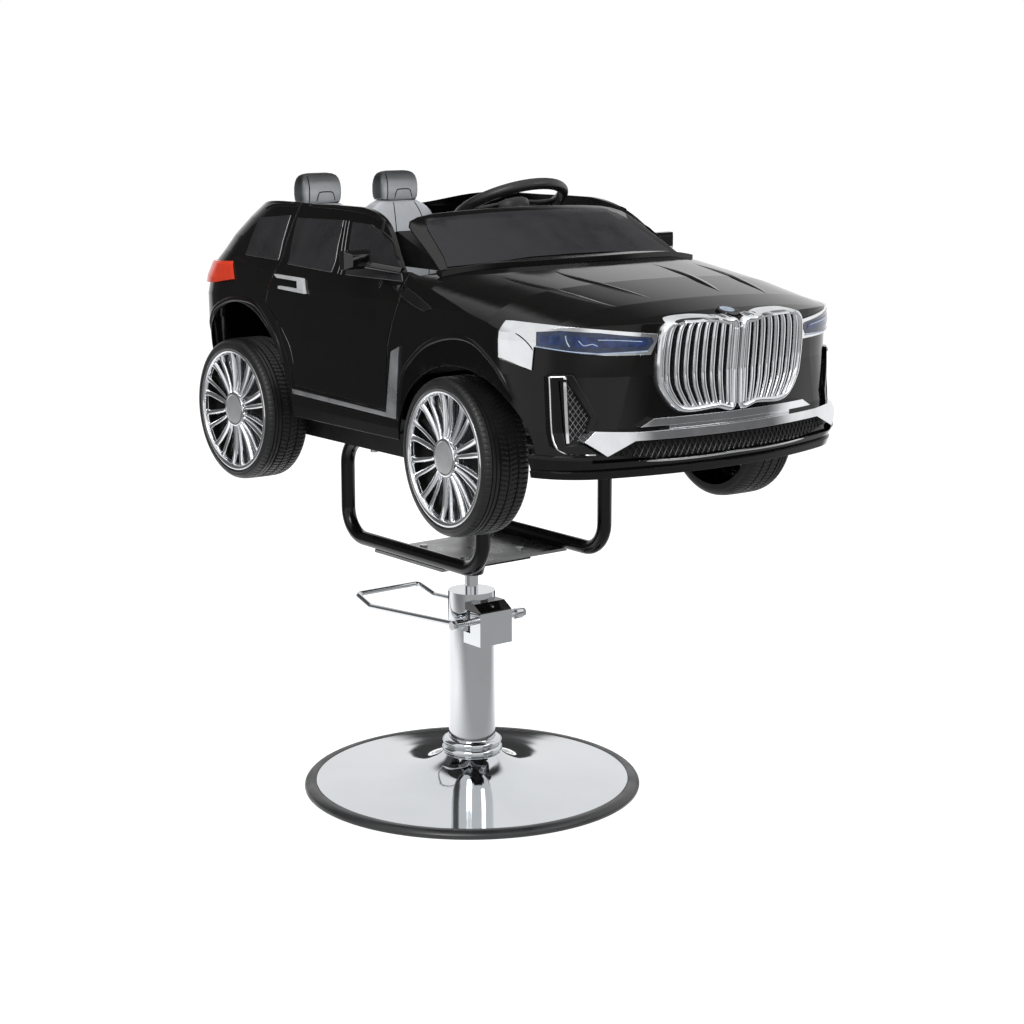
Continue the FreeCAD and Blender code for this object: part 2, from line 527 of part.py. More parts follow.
def build_frame():
    plate_low = "(loop_low - tube_radius - mount_thick)"
    node(cut(box("2 * mount_half", "mount_front + mount_back", "mount_thick", "-mount_half",
                 "-mount_front", plate_low), *mount_holes("frame_bolt_radius")), "mount_plate")
    for side, name in ((1, "frame_loop_left"), (-1, "frame_loop_right")):
        node(cut(loop_form(side, "tube_radius"), *tube_holes(side, "frame_bolt_radius")), name)
    bolts = []
    for x in ("-", ""):
        for y in ("-", ""):
            spot = (f"{x}mount_bolt_y", f"{y}mount_bolt_y")
            bolts.append(fuse(
                cylinder("frame_bolt_radius", "4 * mount_thick", *spot,
                         f"{plate_low} - 2 * mount_thick - mount_thick / 2"),
                cylinder("frame_bolt_head", "frame_bolt_head_thick", *spot, f"{plate_low} + mount_thick")))
    for side in (1, -1):
        for spot in tube_spots(side):
            bolts.append(fuse(
                cylinder("frame_bolt_radius", "2 * tube_radius + floor_thick", *spot,
                         "loop_high - tube_radius"),
                cylinder("frame_bolt_head", "frame_bolt_head_thick", *spot,
                         "loop_high + tube_radius + floor_thick"),
                cylinder("frame_bolt_head", "frame_bolt_head_thick", *spot,
                         "loop_high - tube_radius - frame_bolt_head_thick")))
    node(group(*bolts), "frame_bolts")


def tube_spots(side):
    x = "loop_x" if side > 0 else "-loop_x"
    return [(x, "-frame_bolt_front"), (x, "frame_bolt_back")]


def tube_holes(side, radius):
    return [cylinder(radius, "4 * tube_radius", *spot, "loop_high - 2 * tube_radius")
            for spot in tube_spots(side)]


def loop_form(side, radius):
    """Closed rectangular loop of round bar with bent corners, in a plane along the car."""
    x = "loop_x" if side > 0 else "-loop_x"
    run_y = "loop_front + loop_back - 2 * bend_radius"
    run_z = "loop_high - loop_low - 2 * bend_radius"
    front, back = "-loop_front", "loop_back"
    parts = [
        cylinder(radius, run_y, x, f"{back} - bend_radius", "loop_low", X_AXIS, HALF_TURN / 2),
        cylinder(radius, run_y, x, f"{back} - bend_radius", "loop_high", X_AXIS, HALF_TURN / 2),
        cylinder(radius, run_z, x, front, "loop_low + bend_radius"),
        cylinder(radius, run_z, x, back, "loop_low + bend_radius")]
    corners = [(f"{back} - bend_radius", "loop_high - bend_radius"),
               (f"{front} + bend_radius", "loop_high - bend_radius"),
               (f"{front} + bend_radius", "loop_low + bend_radius"),
               (f"{back} - bend_radius", "loop_low + bend_radius")]
    for turn, (y, z) in enumerate(corners):
        bend = torus("bend_radius", radius, x, y, z)
        bend.Angle3 = HALF_TURN / 2
        base = FreeCAD.Rotation(Vector(1, 1, 1), HALF_TURN * 2 / 3)
        bend.Placement.Rotation = FreeCAD.Rotation(X_AXIS, turn * HALF_TURN / 2).multiply(base)
        parts.append(bend)
    return fuse(*parts)


# Car body


def plan_wire(z, half, nose, tail, front_corner, rear_corner):
    """Plan outline of the body at one height, as tangent arcs and two straight sides."""
    front, rear = size("front_arc"), size("rear_arc")
    front_y, rear_y = -nose + front, tail - rear
    near_y = front_y - math.sqrt((front - front_corner) ** 2 - (half - front_corner) ** 2)
    far_y = rear_y + math.sqrt((rear - rear_corner) ** 2 - (half - rear_corner) ** 2)

    def on(cx, cy, radius, tx, ty):
        length = math.hypot(tx, ty)
        return Vector(cx + radius * tx / length, cy + radius * ty / length, z)

    nx, ny = half - front_corner, near_y - front_y
    fx, fy = half - rear_corner, far_y - rear_y
    front_end = on(0, front_y, front, nx, ny)
    rear_end = on(0, rear_y, rear, fx, fy)
    near_mid = on(nx, near_y, front_corner, nx / math.hypot(nx, ny) + 1, ny / math.hypot(nx, ny))
    far_mid = on(fx, far_y, rear_corner, fx / math.hypot(fx, fy) + 1, fy / math.hypot(fx, fy))
    side_front, side_rear = Vector(half, near_y, z), Vector(half, far_y, z)

    def mirrored(p):
        return Vector(-p.x, p.y, p.z)

    arcs = [
        Part.Arc(mirrored(front_end), Vector(0, -nose, z), front_end).toShape(),
        Part.Arc(front_end, near_mid, side_front).toShape(),
        Part.makeLine(side_front, side_rear),
        Part.Arc(side_rear, far_mid, rear_end).toShape(),
        Part.Arc(rear_end, Vector(0, tail, z), mirrored(rear_end)).toShape(),
        Part.Arc(mirrored(rear_end), mirrored(far_mid), mirrored(side_rear)).toShape(),
        Part.makeLine(mirrored(side_rear), mirrored(side_front)),
        Part.Arc(mirrored(side_front), mirrored(near_mid), mirrored(front_end)).toShape()]
    return Part.Wire(arcs)


def lower_plan(grow, deeper=0.0):
    """Lower body without its top, grown outwards by a distance."""
    bottom, rise = size("body_bottom"), size("belt_z") - size("body_bottom")
    wires = []
    for level, half, nose, corner, tail in LOWER_LEVEL_SHARES:
        z = bottom + rise * level - (deeper if level == 0 else 0)
        wires.append(plan_wire(z, size("body_half") * half + grow, size("nose_reach") * nose + grow,
                               size("tail_reach") * tail + grow, size("front_corner") * corner + grow,
                               size("rear_corner") + grow))
    return Part.makeLoft(wires, True, True)


def upper_plan(grow):
    belt, rise = size("belt_z"), size("roof_z") - size("belt_z")
    wires = []
    for level, half, tail, corner in UPPER_LEVEL_SHARES:
        wires.append(plan_wire(belt + rise * level, size("body_half") * half + grow,
                               size("nose_reach") + grow, size("tail_reach") * tail + grow,
                               size("front_corner") + grow, size("rear_corner") * corner + grow))
    return Part.makeLoft(wires, True, True)


def hood_height(share):
    return size("shelf_bottom") + (size("hood_z") - size("shelf_bottom")) * share


def hood_form(grow):
    """Solid under the hood, then level with the belt behind the windshield."""
    half, low = size("body_half"), size("body_bottom") - 2 * size("overrun")
    drop = size("hood_z") - size("belt_z") + size("overrun")
    reach = size("nose_reach")

    def section(y, crown, fall):
        points = [Vector(half * sx, y, crown - fall * d + grow) for sx, d in HOOD_DROP_SHARES]
        points += [Vector(-p.x, p.y, p.z) for p in reversed(points[:-1])]
        top = Part.BSplineCurve()
        top.interpolate(points)
        first, last = points[0], points[-1]
        low_first, low_last = Vector(first.x, y, low), Vector(last.x, y, low)
        return Part.Wire([top.toShape(), Part.makeLine(last, low_last),
                          Part.makeLine(low_last, low_first), Part.makeLine(low_first, first)])

    wires = [section(-reach * ahead, hood_height(up), drop * fall) for ahead, up, fall in HOOD_LINE_SHARES]
    hood = Part.makeLoft(wires, True, True)
    end, belt = -size("hood_end"), size("belt_z")
    flat = section(end, belt, 0.0)
    ramp = Part.makeLoft([wires[-1], flat], True, True)
    rear = flat_block(2.2 * half, end, size("tail_reach") + size("overrun") * 2, low, belt + grow)
    return hood.fuse([ramp, rear]).removeSplitter()


def flat_block(width, y0, y1, z0, z1):
    return Part.makeBox(width, y1 - y0, z1 - z0, Vector(-width / 2, y0, z0))


def side_prism(shares, lower=None, upper=None):
    """Prism across the car through a side-view outline given by shares."""
    points = []
    for along, up in shares:
        y = along * (size("nose_reach") if along < 0 else size("tail_reach"))
        points.append(Vector(-size("body_half") - size("overrun"), y, up_height(up, lower, upper)))
    return points


def side_region(shares, across_belt=False):
    """Prism across the car through an outline between bottom and belt, or belt and roof."""
    low, high = ("body_bottom", "belt_z") if not across_belt else ("belt_z", "roof_z")
    low, high = size(low), size(high)
    points = []
    for along, up in shares:
        y = along * (size("nose_reach") if along < 0 else size("tail_reach"))
        points.append(Vector(-size("body_half") - size("overrun"), y, low + (high - low) * up))
    return across(Part.makePolygon(points + points[:1]))


def up_height(share, lower, upper):
    if lower is None:
        return size("belt_z") + (size("roof_z") - size("belt_z")) * share
    if share <= 1:
        return lower + (size("belt_z") - lower) * share
    return size("belt_z") + (upper - size("belt_z")) * (share - 1) / 0.6


def across(wire):
    width = 2 * (size("body_half") + size("overrun"))
    return Part.Face(wire).extrude(Vector(width, 0, 0))


def upper_form(grow):
    """Upper sides and rear up to the roof line."""
    points = side_prism(SIDE_LINE_SHARES)
    line = Part.BSplineCurve()
    line.interpolate(points)
    low = size("belt_z")
    first, last = Vector(points[0].x, points[0].y, low), Vector(points[-1].x, points[-1].y, low)
    start = points[0]
    edges = [line.toShape(), Part.makeLine(points[-1], last), Part.makeLine(last, first),
             Part.makeLine(first, start)]
    side = across(Part.Wire(Part.__sortEdges__(edges)))
    above = flat_block(4 * size("body_half"), -size("nose_reach"), 2 * size("tail_reach"), low,
                       size("roof_z") + 4 * size("overrun"))
    return upper_plan(grow).common(side).common(above)


def arch_cutter(centre, reach, rise, half):
    """Wheel arch openings on both sides, a half ellipse over straight legs."""
    count = int(size("arch_points"))
    points = []
    for k in range(count + 1):
        angle = math.pi * k / count
        points.append(Vector(0, centre - reach * math.cos(angle), size("axle_z") + rise * math.sin(angle)))
    arc = Part.BSplineCurve()
    arc.interpolate(points)
    a, b = points[0], points[-1]
    down = Vector(0, 0, -4 * size("overrun"))
    wire = Part.Wire([arc.toShape(), Part.makeLine(b, b + down), Part.makeLine(b + down, a + down),
                      Part.makeLine(a + down, a)])
    face = Part.Face(wire)
    width = size("body_half")
    cutter = face.extrude(Vector(width, 0, 0))
    cutter.translate(Vector(half, 0, 0))
    other = face.extrude(Vector(-width, 0, 0))
    other.translate(Vector(-half, 0, 0))
    return cutter.fuse(other)


def arch_of(where, gap=0.0):
    """Centre, half length and height of one pair of wheel arches."""
    side = -1 if where == "front" else 1
    return (side * size(f"arch_{where}_y"), size(f"arch_{where}_reach") + gap,
            size(f"arch_{where}_rise") + gap)


class Body:
    """Outer forms of the car body that every panel and trim piece is cut from."""

    def __init__(self):
        wall = size("body_wall")
        self.outer = self.form(0.0)
        self.upper = upper_form(0.0)
        self.inner = self.form(-wall, 2 * size("overrun"))
        self.upper_inner = upper_plan(-size("upper_wall"))
        self.door_inner = self.form(-size("door_wall"), 2 * size("overrun"))
        self.cache = {}

    def form(self, grow, deeper=0.0):
        return lower_plan(grow, deeper).common(hood_form(grow))

    def whole(self):
        """Body and cabin sides as one filled form."""
        return self.outer.fuse(self.upper)

    def with_shield(self):
        return self.outer.fuse(shield_form(size("seat_gap")))

    def grown(self, distance):
        if distance not in self.cache:
            self.cache[distance] = self.form(distance)
        return self.cache[distance]

    def pad(self, prism, distance):
        """Piece lying on the body's surface inside a prism."""
        return prism.common(self.grown(distance)).cut(self.outer)


def cockpit_cutter(inset):
    """Open top of the cabin, from the windshield to the seat backs."""
    belt = size("belt_z")
    half, tail, corner = LOWER_LEVEL_SHARES[-1][1], LOWER_LEVEL_SHARES[-1][4], size("rear_corner")
    wire = plan_wire(belt - size("overrun") * 2, size("body_half") * half - inset, size("nose_reach"),
                     size("tail_reach") * tail - inset, size("front_corner"), corner)
    column = Part.Face(wire).extrude(Vector(0, 0, 4 * size("overrun")))
    keep = flat_block(4 * size("body_half"), -size("cockpit_front"), size("tail_reach"), 0,
                      2 * size("belt_z"))
    return column.common(keep)


def build_body(body):
    lower = body.outer.cut(body.inner).cut(cockpit_cutter(size("upper_wall")))
    upper = body.upper.cut(body.upper_inner)
    shell = lower.fuse(upper)
    front, rear = (arch_cutter(*arch_of(where), size("tub_half")) for where in ("front", "rear"))
    doors = door_prism(0.0)
    windows = window_pockets()
    panel = shell.cut([front, rear, doors])
    panel = panel.cut(windows["shell"])
    node(solid(largest(panel)), "body_shell")
    node(solid(Part.makeCompound(windows["panes"])), "rear_windows")
    door_shell = body.outer.cut(body.door_inner)
    door_shell = door_shell.cut(cockpit_cutter(size("upper_wall")))
    skin = door_shell.fuse(upper).common(door_prism(size("door_gap"))).cut(windows["doors"])
    for side, name in ((1, "door_left"), (-1, "door_right")):
        half = half_space(side)
        door = largest(skin.common(half))
        node(solid(largest(door.fuse(hinge_barrel(side)).cut(hinge_bore(side)))), name)


def largest(shape):
    """Biggest solid of a shape, without slivers that a cut leaves."""
    return max(shape.Solids, key=lambda piece: piece.Volume)


def half_space(side):
    wide = 2 * size("body_half")
    block = flat_block(wide, -2 * size("nose_reach"), 2 * size("tail_reach"), 0, 2 * size("roof_z"))
    block.translate(Vector(side * wide / 2, 0, 0))
    return block


def door_prism(inset):
    points = side_prism(DOOR_LINE_SHARES, size("body_bottom"), size("roof_z") + 2 * size("overrun"))
    wire = Part.makePolygon(points + [points[0]])
    if inset:
        wire = wire.makeOffset2D(-inset)
        wire = wire.Wires[0] if wire.ShapeType != "Wire" else wire
    return across(wire)


def hinge_x():
    """Distance of the door hinges from the car's middle plane."""
    return size("body_half") - size("hinge_inset")


def hinge_barrel(side):
    low, high, thick = size("hinge_low"), size("hinge_high"), size("hinge_lug_thick")
    gap = size("seat_gap")
    z0, z1 = low + thick / 2 + gap, high - thick / 2 - gap
    x, y, radius = side * hinge_x(), -size("hinge_y"), size("hinge_barrel_radius")
    barrel = Part.makeCylinder(radius, z1 - z0, Vector(x, y, z0))
    depth = size("body_half") - size("body_wall") - hinge_x()
    web = Part.makeBox(depth, 2 * radius, z1 - z0, Vector(x if side > 0 else x - depth, y - radius, z0))
    return barrel.fuse(web)


def hinge_bore(side):
    return Part.makeCylinder(size("hinge_pin_radius") + size("fit"), 2 * size("hinge_high"),
                             Vector(side * hinge_x(), -size("hinge_y"), 0))


def window_pockets():
    """Shallow pockets of the side and rear windows, and the panes of those in the body shell."""
    belt, roof = size("belt_z"), size("roof_z")
    rise, tail = roof - belt, size("tail_reach")
    inset, thick = size("window_inset"), size("window_thick")
    skin_out, skin_in = upper_plan(-inset), upper_plan(-inset - thick)
    middle = flat_block(size("body_half"), -size("nose_reach"), 2 * tail, belt, 2 * roof)
    sides = [side_region(shares, True).cut(middle) for shares in WINDOW_OUTLINE_SHARES]
    half = size("body_half") / 2
    back = Part.makeBox(2 * half, tail, rise / 2, Vector(-half, tail / 2 + 3 * size("overrun"),
                                                         belt + rise / 8))
    region = sides[0].fuse(back)
    panes = skin_out.cut(skin_in).common(region)
    beyond = upper_plan(size("overrun"))
    return {"shell": beyond.cut(skin_in).common(region), "panes": panes.Solids,
            "doors": beyond.cut(skin_out).common(sides[1].fuse(sides[2]))}


# Chassis


def build_chassis(body):
    wall, half = size("tub_wall"), size("tub_half")
    floor_z = size("loop_high") + size("tube_radius")
    shelf, shelf_top = size("shelf_bottom"), size("shelf_bottom") + size("shelf_thick")
    front, back = -size("tub_front"), size("tub_back")
    tub = Part.makeBox(2 * half, back - front, shelf_top - floor_z, Vector(-half, front, floor_z))
    hollow = Part.makeBox(2 * (half - wall), back - front - 2 * wall, shelf_top,
                          Vector(-half + wall, front + wall, floor_z + size("floor_thick")))
    plan = lower_plan(-size("body_wall") - size("seat_gap"))
    slab = plan.common(flat_block(4 * half, -2 * size("nose_reach"), 2 * size("tail_reach"), shelf,
                                  shelf_top))
    wells = wheel_wells(shelf)
    riser_front = size("riser_front")
    riser = Part.makeBox(2 * (half - wall), wall, size("riser_top") - floor_z,
                         Vector(-half + wall, riser_front, floor_z))
    deck = Part.makeBox(2 * half, back - riser_front, wall,
                        Vector(-half, riser_front, size("riser_top") - wall))
    sides = Part.makeBox(2 * half, back - riser_front, size("riser_top") - shelf,
                         Vector(-half, riser_front, shelf))
    sides = sides.cut(Part.makeBox(2 * (half - wall), back, size("riser_top"),
                                   Vector(-half + wall, riser_front + wall, 0)))
    chassis = slab.cut(wells).fuse([tub, sides]).cut(hollow).fuse([riser, deck])
    chassis = chassis.fuse(kingpin_forks() + axle_bosses() + hinge_posts() + [column_bearing()])
    cutters = [round_x(size("axle_radius") + size("fit"), 4 * half, -2 * half, size("rear_axle"),
                       size("axle_z"))]
    for side in (1, -1):
        cutters.append(Part.makeCylinder(size("kingpin_radius") + size("fit"), size("axle_z"),
                                         Vector(side * size("kingpin_x"), -size("front_axle"),
                                                size("axle_z") / 2)))
    reach = size("crank_half") * 4
    cutters.append(Part.makeBox(2 * reach, 2 * size("overrun"), size("tie_thick") + 2,
                                Vector(size("wheel_x") - reach, front - size("overrun"),
                                       size("tie_low") - 1)))
    cutters.append(column_line(size("column_radius") + size("fit")))
    for side in (1, -1):
        x = side * size("loop_x")
        for y in (-size("frame_bolt_front"), size("frame_bolt_back")):
            cutters.append(Part.makeCylinder(size("frame_bolt_radius"), 4 * size("overrun"),
                                             Vector(x, y, floor_z - 2 * size("overrun"))))
    node(solid(largest(chassis.cut(cutters).removeSplitter())), "chassis")


def wheel_wells(shelf):
    """Space for the four wheels, cut out of the shelf."""
    deep, high = size("body_half"), 4 * size("overrun")
    wells = []
    for where in ("front", "rear"):
        half = size(f"well_{where}_half")
        centre, reach, _ = arch_of(where, size("well_gap"))
        for side in (1, -1):
            x = half if side > 0 else -half - deep
            wells.append(Part.makeBox(deep, 2 * reach, high, Vector(x, centre - reach, shelf - high / 2)))
    return wells


def kingpin_forks():
    forks, y = [], -size("front_axle")
    reach, ear, web = size("ear_reach"), size("ear_half"), size("ear_web")
    shelf, thick, low = size("shelf_bottom"), size("ear_thick"), size("ear_low")
    for side in (1, -1):
        x0 = web if side > 0 else -reach
        upper = Part.makeBox(reach - web, 2 * ear, thick, Vector(x0, y - ear, shelf))
        lower = Part.makeBox(reach - web, 2 * ear, thick, Vector(x0, y - ear, low))
        wx = web if side > 0 else -web - thick
        plate = Part.makeBox(thick, 2 * ear, shelf - low, Vector(wx, y - ear, low))
        forks += [upper, lower, plate]
    return forks


def round_x(radius, length, x, y, z):
    return Part.makeCylinder(radius, length, Vector(x, y, z), X_AXIS)


def axle_bosses():
    y, z, half = size("rear_axle"), size("axle_z"), size("tub_half")
    length = size("boss_end") - half + size("tub_wall")
    return [round_x(size("boss_radius"), length, half - size("tub_wall"), y, z),
            round_x(size("boss_radius"), length, -size("boss_end"), y, z)]


def hinge_posts():
    """Post on each side of the tub with two lugs and the door's hinge pin."""
    posts, depth, y = [], size("hinge_post_depth"), -size("hinge_y")
    half, x = size("tub_half"), hinge_x()
    low, high, thick = size("hinge_low"), size("hinge_high"), size("hinge_lug_thick")
    for side in (1, -1):
        width = size("overrun")
        start = half - size("tub_wall")
        x0 = start if side > 0 else -start - width
        posts.append(Part.makeBox(width, depth, high + thick / 2 - size("shelf_bottom"),
                                  Vector(x0, y - depth / 2, size("shelf_bottom"))))
        for z in (low, high):
            lx = start if side > 0 else -x
            posts.append(Part.makeBox(x - start, depth, thick, Vector(lx, y - depth / 2, z - thick / 2)))
            posts.append(Part.makeCylinder(size("hinge_lug_radius"), thick,
                                           Vector(side * x, y, z - thick / 2)))
        posts.append(Part.makeCylinder(size("hinge_pin_radius"), high - low, Vector(side * x, y, low)))
    return posts


def tilt():
    return math.radians(size("wheel_tilt"))


def along_column(distance, radial=0.0):
    """Point down the steering column, and forward from it."""
    sin, cos = math.sin(tilt()), math.cos(tilt())
    return Vector(size("wheel_x"), -size("wheel_y") - sin * distance - cos * radial,
                  size("wheel_z") - cos * distance + sin * radial)


def column_direction():
    return Vector(0, math.sin(tilt()), math.cos(tilt()))


def column_line(radius):
    start = along_column(size("column_end") + size("overrun"))
    return Part.makeCylinder(radius, 2 * size("column_end"), start, column_direction())


def column_bearing():
    """Block at the tub's front wall that guides the lower end of the steering column."""
    half, wall = 2 * size("column_radius"), size("tub_wall")
    base = size("shelf_bottom")
    spot = along_column((size("wheel_z") - base - half / 2) / math.cos(tilt()))
    return Part.makeBox(2 * half, spot.y + half + size("tub_front"), half,
                        Vector(size("wheel_x") - half, -size("tub_front"), base))


# Wheels and steering


def wheel_profile(points):
    """Wheel form turned about X, with its outer face towards +X."""
    item = DOC.addObject("Part::Revolution", "turned")
    item.Source = profile(points, "XY")
    item.Axis, item.Base, item.Angle, item.Solid = X_AXIS, Vector(), FULL_TURN, True
    return item


def build_wheels():
    for where, axle, steer in (("front", "-front_axle", True), ("rear", "rear_axle", False)):
        for side, hand in ((1, "left"), (-1, "right")):
            tyre = wheel_profile([
                ("tyre_outer", "rim_radius + seat_gap"), ("tyre_outer", "sidewall_radius"),
                ("tyre_outer - tyre_bevel", "tyre_radius"), ("tyre_inner + tyre_bevel", "tyre_radius"),
                ("tyre_inner", "sidewall_radius"), ("tyre_inner", "barrel_radius"),
                ("web_outer - web_thick", "barrel_radius"), ("web_outer - web_thick", "hub_radius"),
                ("hub_inner", "hub_radius"), ("hub_inner", "axle_radius + fit"),
                ("web_outer", "axle_radius + fit"), ("web_outer", "rim_radius + seat_gap")])
            rim = cut(wheel_profile([
                ("web_outer", "rim_radius"), ("tyre_outer", "rim_radius"),
                ("tyre_outer", "rim_radius - rim_lip"),
                ("tyre_outer - rim_dish", "rim_radius - rim_lip"),
                ("tyre_outer - rim_dish", "rim_hub"), ("tyre_outer - rim_dish / 2", "rim_hub"),
                ("tyre_outer - rim_dish / 2", "0"), ("tyre_outer - rim_dish - spoke_thick", "0"),
                ("tyre_outer - rim_dish - spoke_thick", "rim_radius - rim_lip / 2"),
                ("web_outer", "rim_radius - rim_lip / 2")]), solid(spoke_windows()))
            for item, name in ((tyre, f"tyre_{where}_{hand}"), (rim, f"rim_{where}_{hand}")):
                holder = node(group(item), name)
                holder.Placement = wheel_place(axle, side, steer)


def wheel_place(axle, side, steer):
    turn = FreeCAD.Rotation(Z_AXIS, 0.0 if side > 0 else HALF_TURN)
    rest = FreeCAD.Placement(Vector(0, value_of(axle), size("axle_z")), turn)
    return steer_turn(side).multiply(rest) if steer else rest


def steer_turn(side):
    """Turn of a front wheel about its kingpin at rest."""
    pivot = Vector(side * size("kingpin_x"), -size("front_axle"), 0)
    return FreeCAD.Placement(Vector(), FreeCAD.Rotation(Z_AXIS, size("steer_rest")), pivot)


def spoke_windows():
    """Openings between spokes: a wide one between pairs, a narrow one inside each pair."""
    count = int(size("spoke_pairs"))
    inner, outer = size("rim_hub") + size("rim_lip") / 2, size("rim_radius") - size("rim_lip")
    depth = 4 * size("spoke_thick")
    start = size("tyre_outer") - depth
    windows = []
    for pair in range(count):
        base = FULL_TURN / count * pair
        for centre, inner_share, outer_share in WINDOW_SHARES:
            angle = base + FULL_TURN / count * centre
            step = FULL_TURN / count
            shape = []
            for radius, share in ((inner, inner_share), (outer, outer_share)):
                for sign in (-1, 1):
                    a = math.radians(angle + sign * step * share)
                    shape.append(Vector(start, radius * math.cos(a), radius * math.sin(a)))
            ring = [shape[0], shape[1], shape[3], shape[2], shape[0]]
            windows.append(Part.Face(Part.makePolygon(ring)).extrude(Vector(depth, 0, 0)))
    return Part.makeCompound(windows)


def build_axles():
    y, z = -size("front_axle"), size("axle_z")
    gap = size("seat_gap")
    shelf, low, thick = size("shelf_bottom"), size("ear_low"), size("ear_thick")
    tip, head = size("web_outer") + gap, size("axle_head")
    for side, name in ((1, "knuckle_left"), (-1, "knuckle_right")):
        x = side * size("kingpin_x")
        pin = Part.makeCylinder(size("kingpin_radius"), shelf + thick - low, Vector(x, y, low))
        barrel = Part.makeCylinder(size("knuckle_radius"), shelf - low - thick - 2 * gap,
                                   Vector(x, y, low + thick + gap))
        stub = round_x(size("axle_radius"), side * (tip - size("kingpin_x")) if side > 0
                       else tip - size("kingpin_x"), x if side > 0 else -tip, y, z)
        cap = round_x(head, size("axle_head_thick"), tip if side > 0 else -tip - size("axle_head_thick"),
                      y, z)
        shoulder_length = size("hub_inner") - gap - size("kingpin_x")
        shoulder = round_x(head, shoulder_length, x if side > 0 else x - shoulder_length, y, z)
        arm_low, arm_high, arm = size("arm_low"), size("arm_high"), size("arm_half")
        reach = size("arm_length")
        lever = Part.makeBox(2 * arm, reach, arm_high - arm_low, Vector(x - arm, y - reach, arm_low))
        tip_round = Part.makeCylinder(arm, arm_high - arm_low, Vector(x, y - reach, arm_low))
        peg = Part.makeCylinder(size("arm_pin"), size("tie_low") + size("tie_thick") - arm_high,
                                Vector(x, y - reach, arm_high))
        item = solid(barrel.fuse([pin, stub, cap, shoulder, lever, tip_round, peg]).removeSplitter())
        node(item, name).Placement = steer_turn(side)
    rear_y, half = size("rear_axle"), size("web_outer") + gap
    rod = round_x(size("axle_radius"), 2 * half, -half, rear_y, z)
    caps = [round_x(head, size("axle_head_thick"), x, rear_y, z)
            for x in (half, -half - size("axle_head_thick"))]
    node(solid(rod.fuse(caps).removeSplitter()), "rear_axle")
    build_tie_rod()


def build_tie_rod():
    """Flat bar between the steering arms with a tongue back to the column's crank pin."""
    low, thick, half = size("tie_low"), size("tie_thick"), size("tie_half")
    y = -size("front_axle") - size("arm_length")
    reach, shift = size("kingpin_x"), size("tie_shift")
    bar = Part.makeBox(2 * reach, 2 * half, thick, Vector(-reach, y - half, low))
    ends = [Part.makeCylinder(half, thick, Vector(s * reach, y, low)) for s in (1, -1)]
    pin = crank_pin_place()
    tongue_half, slot = 2 * half, size("crank_pin") + size("arm_slot")
    back = pin.y + 2 * half
    tongue = Part.makeBox(2 * tongue_half, back - y, thick, Vector(size("wheel_x") - tongue_half, y, low))
    plate = bar.fuse(ends + [tongue])
    holes = []
    for s in (1, -1):
        hole = size("arm_pin") + size("arm_slot")
        run = hole + 3 * size("arm_slot")
        corner = Vector(s * reach - hole, y - run, low - thick)
        holes.append(Part.makeBox(2 * hole, 2 * run, 4 * thick, corner))
    holes.append(Part.makeBox(2 * slot, 3.2 * slot, 4 * thick,
                              Vector(size("wheel_x") - slot, pin.y - 1.3 * slot, low - thick)))
    item = solid(plate.cut(holes))
    node(item, "tie_rod").Placement = FreeCAD.Placement(Vector(shift, 0, 0), FreeCAD.Rotation())


def crank_pin_place():
    """Where the crank pin's axis crosses the middle of the tie rod's tongue."""
    base = along_column(size("column_end"), size("crank_length"))
    middle = size("tie_low") + size("tie_thick") / 2
    return base + column_direction() * ((middle - base.z) / math.cos(tilt()))


def build_steering():
    """Steering wheel, horn button and column, built upright and then tilted together."""
    turn = FreeCAD.Rotation(X_AXIS, -size("wheel_tilt"))
    spin = FreeCAD.Rotation(Z_AXIS, size("steer_rest") / 0.6)
    stand = FreeCAD.Placement(along_column(0.0), turn.multiply(spin))
    hub_low = "-wheel_hub_thick + spoke_depth / 2"
    spokes = [box("wheel_ring", "spoke_width", "spoke_depth", "0", "-spoke_width / 2", "-spoke_depth / 2"),
              box("wheel_ring", "spoke_width", "spoke_depth", "-wheel_ring", "-spoke_width / 2",
                  "-spoke_depth / 2"),
              box("spoke_width", "wheel_ring", "spoke_depth", "-spoke_width / 2", "0", "-spoke_depth / 2")]
    grip = [(f"wheel_ring + wheel_tube * {u}", f"wheel_tube * {v}") for u, v in GRIP_SHARES]
    wheel = cut(fuse(revolved(grip),
                     cylinder("wheel_hub", "wheel_hub_thick", z=hub_low), *spokes),
                cylinder("horn_radius + seat_gap", "wheel_hub_thick", z="spoke_depth / 2 - horn_thick"),
                cylinder("column_radius", "wheel_hub_thick - horn_thick - horn_travel - seat_gap",
                         z="-2 * wheel_hub_thick + spoke_depth + horn_thick"))
    node(wheel, "steering_wheel").Placement = stand
    button_low = "spoke_depth / 2 - horn_thick + horn_travel + seat_gap"
    node(group(cylinder("horn_radius", "horn_thick", z=button_low)), "horn_button").Placement = stand
    top = "-wheel_hub_thick + spoke_depth / 2"
    shaft = fuse(cylinder("column_radius", f"column_end + {top}", z="-column_end"),
                 box("2 * crank_half", "crank_length + crank_half", "crank_thick", "-crank_half",
                     "-crank_length - crank_half", "-column_end - crank_thick / 2"),
                 cylinder("crank_pin", "crank_pin_length", "0", "-crank_length", "-column_end"))
    node(shaft, "steering_column").Placement = stand


# Interior


def build_interior(body):
    node(solid(seat_form()), "seat_bench")
    node(solid(dash_form(body)), "dashboard")


